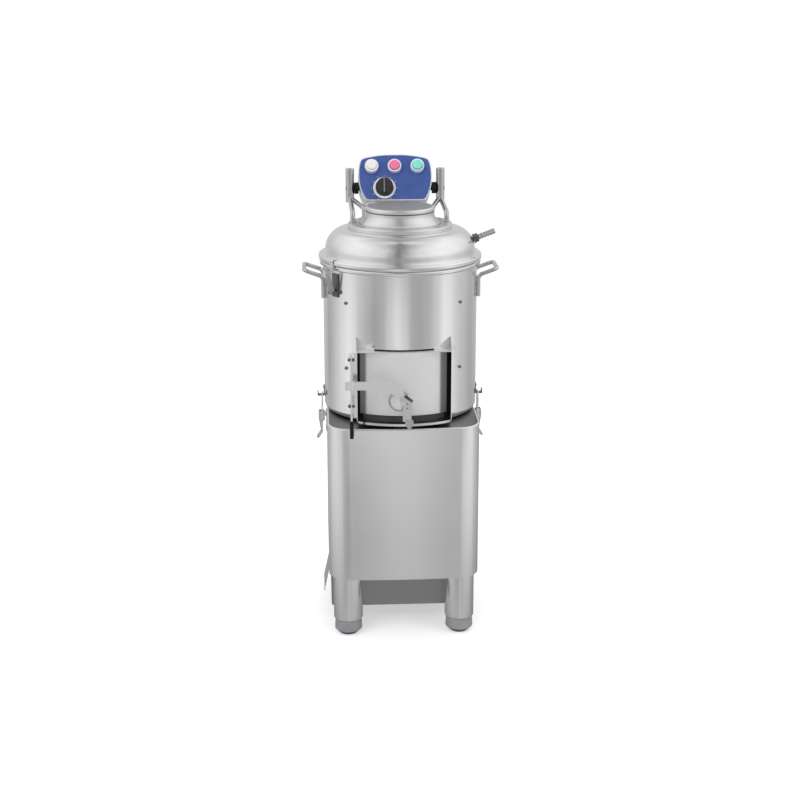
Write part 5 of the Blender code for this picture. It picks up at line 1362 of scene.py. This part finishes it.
def makeDial(x, up, radius, thick, tickRadius, ticks):
    place = faceFrame @ Matrix.Translation((x, up, 0))
    ring = [(0, panelFace), (radius, panelFace), (radius, panelFace + thick, 0.0007), (0, panelFace + thick)]
    newPiece("dialRing", turned(ring, 4, 96, place), "dialWhite", "machine", ("dial_ring",))
    ringRow("dialTicks", place, {"Count": ticks, "Radius": tickRadius, "First Angle": radians(-60),
                                 "Step Angle": radians(300 / (ticks - 1)),
                                 "Block": Vector((0.0022, 0.0009, 0.0003)), "Height": panelFace - 0.0001},
            "machine", "dialWhite")
    return place, panelFace + thick + clear


def makeKnob(place, low, radius, topRadius, height, skirt, soft, ribs, pointerWidth, pointerHeight, markX):
    top = low + height
    shape = [(0, low), (radius, low, 0.0005), (radius, low + skirt, 0.0012),
             (topRadius + 0.0010, low + skirt + 0.001, 0.0008), (topRadius, top, soft), (0, top)]
    newPiece("timerKnob", turned(shape, 5, 96, place), "knobBlack", "knob", ("timer_knob",))
    ringRow("knobRibs", place, {"Count": ribs, "Radius": topRadius + clear, "First Angle": 0.0,
                                "Step Angle": 2 * pi / ribs,
                                "Block": Vector((0.0013, 0.0014, height - skirt - 0.004)),
                                "Height": (low + skirt + top) / 2}, "knob", "knobBlack")
    half, reach = pointerWidth / 2, topRadius - 0.0005
    bar = softOutline([(-half, -reach, 0.0018), (half, -reach, 0.0018), (half * 0.8, reach, 0.0014),
                       (-half * 0.8, reach, 0.0014)], 5)
    newPiece("knobPointer", prism(bar, top - 0.0005, top + pointerHeight, place), "knobBlack", "knob",
             (), 0.0006)
    left, right = markX - 0.0011, markX + 0.0011
    mark = [(left, -reach), (right, -reach), (right, topRadius - 0.0010), (left, topRadius - 0.0010)]
    newPiece("pointerMark", prism(mark, top + pointerHeight - 0.0001, top + pointerHeight + 0.0002, place),
             "markGrey", "knob")


makeKnob(*makeDial(**dialLook), **knobLook)

buttonLook = {"row": 0.085, "bezel": 0.0168, "bezelHeight": 0.014, "cap": 0.0122, "clear": 0.0005,
              "capHeight": 0.020, "capLift": 0.0055, "soft": 0.0022, "steps": 72}


def makeButtons(row, bezel, bezelHeight, cap, clear, capHeight, capLift, soft, steps):
    low, rim, top = panelFace, panelFace + bezelHeight, panelFace + capHeight
    domed = [(cap, top - 0.0004, soft), (cap * 0.5, top - 0.0001, 0.01), (0, top)]
    for name, x, finish, slot in (("stop", -0.0015, "capPink", "red_plastic"),
                                  ("start", 0.0545, "capMint", "green_plastic")):
        place = faceFrame @ Matrix.Translation((x, row, 0))
        bore = cap + clear
        ring = turned([(bore, low), (bezel, low), (bezel, rim, soft), (bore, rim, 0.0010)], 6, steps, place)
        newPiece(name + "Bezel", ring, "bezelWhite", "machine", (name + "_bezel",))
        button = turned([(0, low + capLift), (cap, low + capLift)] + domed, 6, steps, place)
        newPiece(name + "Cap", button, finish, name, (name + "_button",))
    lamp = [(0, low), (bezel, low), (bezel, rim, soft), (cap + 0.0006, rim, 0.0004), (cap, rim + 0.0004)] + domed
    newPiece("pilotLamp", turned(lamp, 6, steps, faceFrame @ Matrix.Translation((-0.0575, row, 0))), "lampWhite",
             "machine", ("pilot_lamp",))


makeButtons(**buttonLook)

glandLook = {"bore": 0.004, "radius": 0.010, "nut": 0.006, "length": 0.014}


def makeGland(bore, radius, nut, length):
    place = Matrix.Translation((0, aboutAxis("cable_gland")[0].y, deckTop + 0.034)) @ Matrix.Rotation(-pi / 2, 4,
                                                                                                      "X")
    gland = roundEdges(newItem("glandNut", prism(hexagon(radius), 0.0008, nut, place)), 0.0005)
    carve(gland, rod(bore, -0.01, 0.03, 32, place))
    flange = [(bore, 0), (radius, 0), (radius, 0.0016, 0.0004), (bore, 0.0016)]
    collar = [(bore, nut - 0.001), (radius - 0.002, nut - 0.001), (radius - 0.002, nut + 0.0015, 0.0006),
              (radius - bore, length, 0.0010), (bore, length, 0.0005)]
    joinTo(gland, *(turned(shape, 3, 40, toAxis @ place) for shape in (flange, collar)))
    finishItem(gland, "gripBlack", "machine", ("cable_gland",), 34)


makeGland(**glandLook)
print("column, head and controls made")

# Fasteners
linerBolt = {"Sides": 6, "Head Radius": 0.0036, "Head Height": 0.0024, "Washer Radius": 0.0052,
             "Washer Height": 0.0010, "Dome": 0.12}
smallScrew = {"Sides": 20, "Head Radius": 0.0036, "Head Height": 0.0008, "Washer Radius": 0.0037,
              "Washer Height": 0.0003, "Dome": 0.45}


def onDrum(turn, z):
    # turn is measured from the front, to the right
    a = radians(turn)
    return Vector((sin(a) * drumRadius, -cos(a) * drumRadius, z)), Vector((sin(a), -cos(a), 0))


bolts = [onDrum(turn, z) for turn in (-46, 46, -134, 134) for z in (deckTop + 0.276, deckTop + 0.124)]
heads = boltRow("linerBolts", bolts, linerBolt, "machine", "boltSteel")
refinish(heads, "foldBright", lambda normal, spot: hypot(spot.x, spot.y) < drumRadius + 0.0012)
screws = [((hinge[0] + off, hinge[1] - 0.006, chuteLow + rise), (0, -1, 0)) for rise in earRises
          for off in (-0.0048, 0.0042)]
boltRow("hingeScrews", screws, smallScrew, "machine", "boltSteel")
boltRow("ledgeRivet", [onDrum(40.5, chuteTop - 0.001)], rivetLook, "machine", "tubeSteel")
rivets = [((way * (standHalf + 0.0023), y, deckTop + clampRise + up), (way, 0, 0)) for way in (-1, 1)
          for y in (-0.0072, 0.0072) for up in (-0.034, 0.0083)]
strikeTop = aboutAxis("clamp_strike_right")[1].z
rivets += [((way * (drumRadius + 0.0025), y, strikeTop - 0.0050), (way, 0, 0)) for way in (-1, 1)
           for y in (-0.0045, 0.0045)]
boltRow("clampRivets", rivets, {**rivetLook, "Head Radius": 0.0018, "Washer Radius": 0.0019}, "machine",
        "boltSteel")
print("fasteners made")

# Camera, soft studio light and a pale floor
cameraLook = {"azimuth": -3.21, "distance": 3.40, "height": 1.50, "pitch": 14.36, "lens": 66.4, "shift": -0.055}


def makeCamera(azimuth, distance, height, pitch, lens, shift):
    data = bpy.data.cameras.new("camera")
    data.lens, data.sensor_width, data.shift_y = lens, 36.0, shift
    data.clip_start, data.clip_end = 0.05, 100
    item = bpy.data.objects.new("camera", data)
    bpy.context.collection.objects.link(item)
    a, e = radians(azimuth), radians(pitch)
    item.location = (distance * sin(a), axisY - distance * cos(a), height)
    ahead = Vector((-sin(a) * cos(e), cos(a) * cos(e), -sin(e)))
    item.rotation_mode = "QUATERNION"
    item.rotation_quaternion = ahead.to_track_quat("-Z", "Y")
    bpy.context.scene.camera = item


makeCamera(**cameraLook)

# The pale room as metal mirrors it: how steeply the mirrored ray climbs (the height of its unit vector),
# then brightness by direction, in degrees from the front towards the right
roomRows = {
    "legs": {"climb": -0.42, "bands": (
        (-180, 0.22), (-130, 0.22), (-96, 0.26), (-56, 0.37), (-22, 0.46), (10, 0.49), (44, 0.40), (82, 0.28),
        (130, 0.22), (180, 0.22))},
    "standFoot": {"climb": -0.375, "bands": (
        (-180, 0.30), (-137, 0.36), (-101, 0.52), (-75, 0.55), (-52, 0.49), (-31, 0.32), (-14, 0.28), (-8, 0.29),
        (-4, 0.38), (2, 0.49), (5, 0.49), (9, 0.41), (13, 0.36), (20, 0.40), (34, 0.52), (55, 0.58), (78, 0.57),
        (104, 0.40), (138, 0.30), (180, 0.30))},
    "standTop": {"climb": -0.335, "bands": (
        (-180, 0.42), (-137, 0.47), (-101, 0.68), (-75, 0.73), (-52, 0.70), (-31, 0.46), (-14, 0.35), (-8, 0.37),
        (-4, 0.48), (2, 0.61), (5, 0.61), (9, 0.52), (13, 0.46), (20, 0.56), (34, 0.71), (55, 0.75), (78, 0.74),
        (104, 0.52), (138, 0.36), (180, 0.40))},
    "standHigh": {"climb": -0.295, "bands": (
        (-180, 0.42), (-137, 0.47), (-101, 0.68), (-75, 0.73), (-52, 0.70), (-31, 0.44), (-14, 0.37), (-8, 0.39),
        (-4, 0.48), (2, 0.58), (5, 0.58), (9, 0.52), (13, 0.46), (20, 0.54), (34, 0.71), (55, 0.75), (78, 0.74),
        (104, 0.52), (138, 0.36), (180, 0.40))},
    "drum": {"climb": -0.25, "bands": (
        (-180, 0.56), (-150, 0.50), (-138, 0.36), (-126, 0.46), (-112, 0.62), (-98, 0.80), (-86, 0.94), (-76, 0.82),
        (-66, 0.53), (-54, 0.37), (-42, 0.30), (-30, 0.43), (-18, 0.80), (-7, 1.05), (5, 0.78), (16, 0.40),
        (28, 0.31), (40, 0.37), (54, 0.60), (66, 0.95), (76, 0.88), (90, 0.64), (102, 0.54), (126, 0.40),
        (150, 0.48), (180, 0.56))},
    "rim": {"climb": -0.15, "bands": (
        (-180, 0.62), (-126, 0.50), (-102, 0.62), (-78, 0.64), (-54, 0.60), (-36, 0.46), (-18, 0.36), (-6, 0.31),
        (6, 0.33), (20, 0.40), (36, 0.48), (54, 0.62), (72, 0.70), (100, 0.58), (130, 0.48), (180, 0.62))},
    "dome": {"climb": 0.20, "bands": (
        (-180, 0.62), (-150, 0.58), (-126, 0.66), (-90, 0.88), (-66, 0.87), (-42, 0.78), (-30, 0.70), (-18, 0.44),
        (-6, 0.22), (6, 0.45), (18, 0.66), (30, 0.80), (54, 0.92), (66, 0.97), (90, 0.90), (126, 0.74),
        (150, 0.60), (180, 0.62))},
    "domeTop": {"climb": 0.75, "bands": (
        (-180, 0.44), (-172, 0.58), (-162, 0.74), (-150, 0.90), (-90, 0.95), (-66, 0.88), (-42, 0.74), (-30, 0.68),
        (-18, 0.48), (-6, 0.22), (6, 0.34), (18, 0.56), (30, 0.72), (54, 0.88), (90, 0.98), (126, 0.94),
        (150, 0.84), (162, 0.64), (172, 0.42), (180, 0.40))},
    "ceiling": {"climb": 0.94, "bands": (
        (-180, 0.30), (-162, 0.44), (-126, 0.64), (-90, 0.72), (-54, 0.60), (-30, 0.42), (-18, 0.30), (-6, 0.24),
        (6, 0.25), (18, 0.34), (30, 0.44), (54, 0.62), (90, 0.78), (126, 0.64), (162, 0.42), (180, 0.30))},
}
plainLight = 0.66      # what the room sheds on everything but metal


def bandRamp(tree, turn, bands):
    ramp = tree.nodes.new("ShaderNodeValToRGB")
    line = ramp.color_ramp
    line.interpolation = "EASE"
    line.elements[0].position, line.elements[1].position = 0.0, 1.0
    for degrees, level in bands[1:-1]:
        line.elements.new(degrees / 360 + 0.5).color = (level, level, level, 1)
    for end in (0, -1):
        line.elements[end].color = (*(bands[end][1],) * 3, 1)
    tree.links.new(turn, ramp.inputs[0])
    return ramp.outputs[0]


def seenRays(tree):
    # camera, glossy and transmission rays; the rest only carry light
    ray = tree.nodes.new("ShaderNodeLightPath").outputs
    return maths(tree, "MAXIMUM", ray["Is Camera Ray"],
                 maths(tree, "MAXIMUM", ray["Is Glossy Ray"], ray["Is Transmission Ray"])), ray["Is Glossy Ray"]


def makeRoom():
    world = bpy.data.worlds.new("room")
    bpy.context.scene.world = world
    world.use_nodes = True
    tree = world.node_tree
    tree.nodes.clear()
    x, y, z = split(tree, tree.nodes.new("ShaderNodeTexCoord").outputs["Generated"])
    turn = maths(tree, "ARCTAN2", x, times(tree, y, -1.0))
    share = plus(tree, times(tree, turn, 1 / (2 * pi)), 0.5)
    seen, last = None, None
    for row in roomRows.values():
        ramp = bandRamp(tree, share, row["bands"])
        if seen is None:
            seen = ramp
        else:
            rise = addNode(tree, "ShaderNodeMapRange", i0=z, i1=last, i2=row["climb"])
            seen = blended(tree, rise.outputs[0], seen, ramp)
        last = row["climb"]
    # the camera sees a white room, metal sees it with its soft dark flags, and the rest gets plain light
    shown, glossy = seenRays(tree)
    seen = addNode(tree, "ShaderNodeBackground", i0=blended(tree, glossy, (1, 1, 1, 1), seen))
    plain = addNode(tree, "ShaderNodeBackground", i0=(plainLight, plainLight, plainLight, 1))
    mixer = addNode(tree, "ShaderNodeMixShader", i0=shown, i1=plain.outputs[0], i2=seen.outputs[0])
    addNode(tree, "ShaderNodeOutputWorld", i0=mixer.outputs[0])


makeRoom()

floorLook = {"half": 30.0, "white": 0.82, "glow": 0.45}


def makeFloor(half, white, glow):
    item = newItem("floor", block((-half, -half, -0.02), (half, half, 0.0)), Matrix())
    made, tree, shader = newMaterial("paleFloor")
    feed(tree, shader, {"Base Color": (white, white, white, 1), "Roughness": 0.8})
    lit = addNode(tree, "ShaderNodeEmission", Strength=times(tree, seenRays(tree)[0], glow))
    both = addNode(tree, "ShaderNodeAddShader", i0=shader.outputs[0], i1=lit.outputs[0])
    feed(tree, tree.nodes["Material Output"], {0: both.outputs[0]})
    item.data.materials.append(made)
    item.visible_glossy = False


makeFloor(**floorLook)

lampLook = {"key": {"at": (-1.6, -2.2, 2.9), "size": 2.2, "power": 36.0},
            "fill": {"at": (2.2, -1.6, 2.2), "size": 2.0, "power": 18.0},
            "back": {"at": (0.4, 2.2, 2.6), "size": 2.0, "power": 22.0}}


def makeLamp(name, at, size, power):
    data = bpy.data.lights.new(name, "AREA")
    data.shape, data.size, data.energy = "DISK", size, power
    item = bpy.data.objects.new(name, data)
    bpy.context.collection.objects.link(item)
    item.location = at
    item.rotation_mode = "QUATERNION"
    item.rotation_quaternion = (Vector((0, 0, 0.55)) - Vector(at)).to_track_quat("-Z", "Y")
    item.visible_glossy = False


for name, look in lampLook.items():
    makeLamp(name, **look)
print("camera, light and floor made")

# Every node that still shows gets a finish of its own
shown = [n for n, o in nodes.items() if not o.hide_render]
for name in shown:
    paintNode(name, "foldedSteel")
print("nodes shown as they are:", shown)
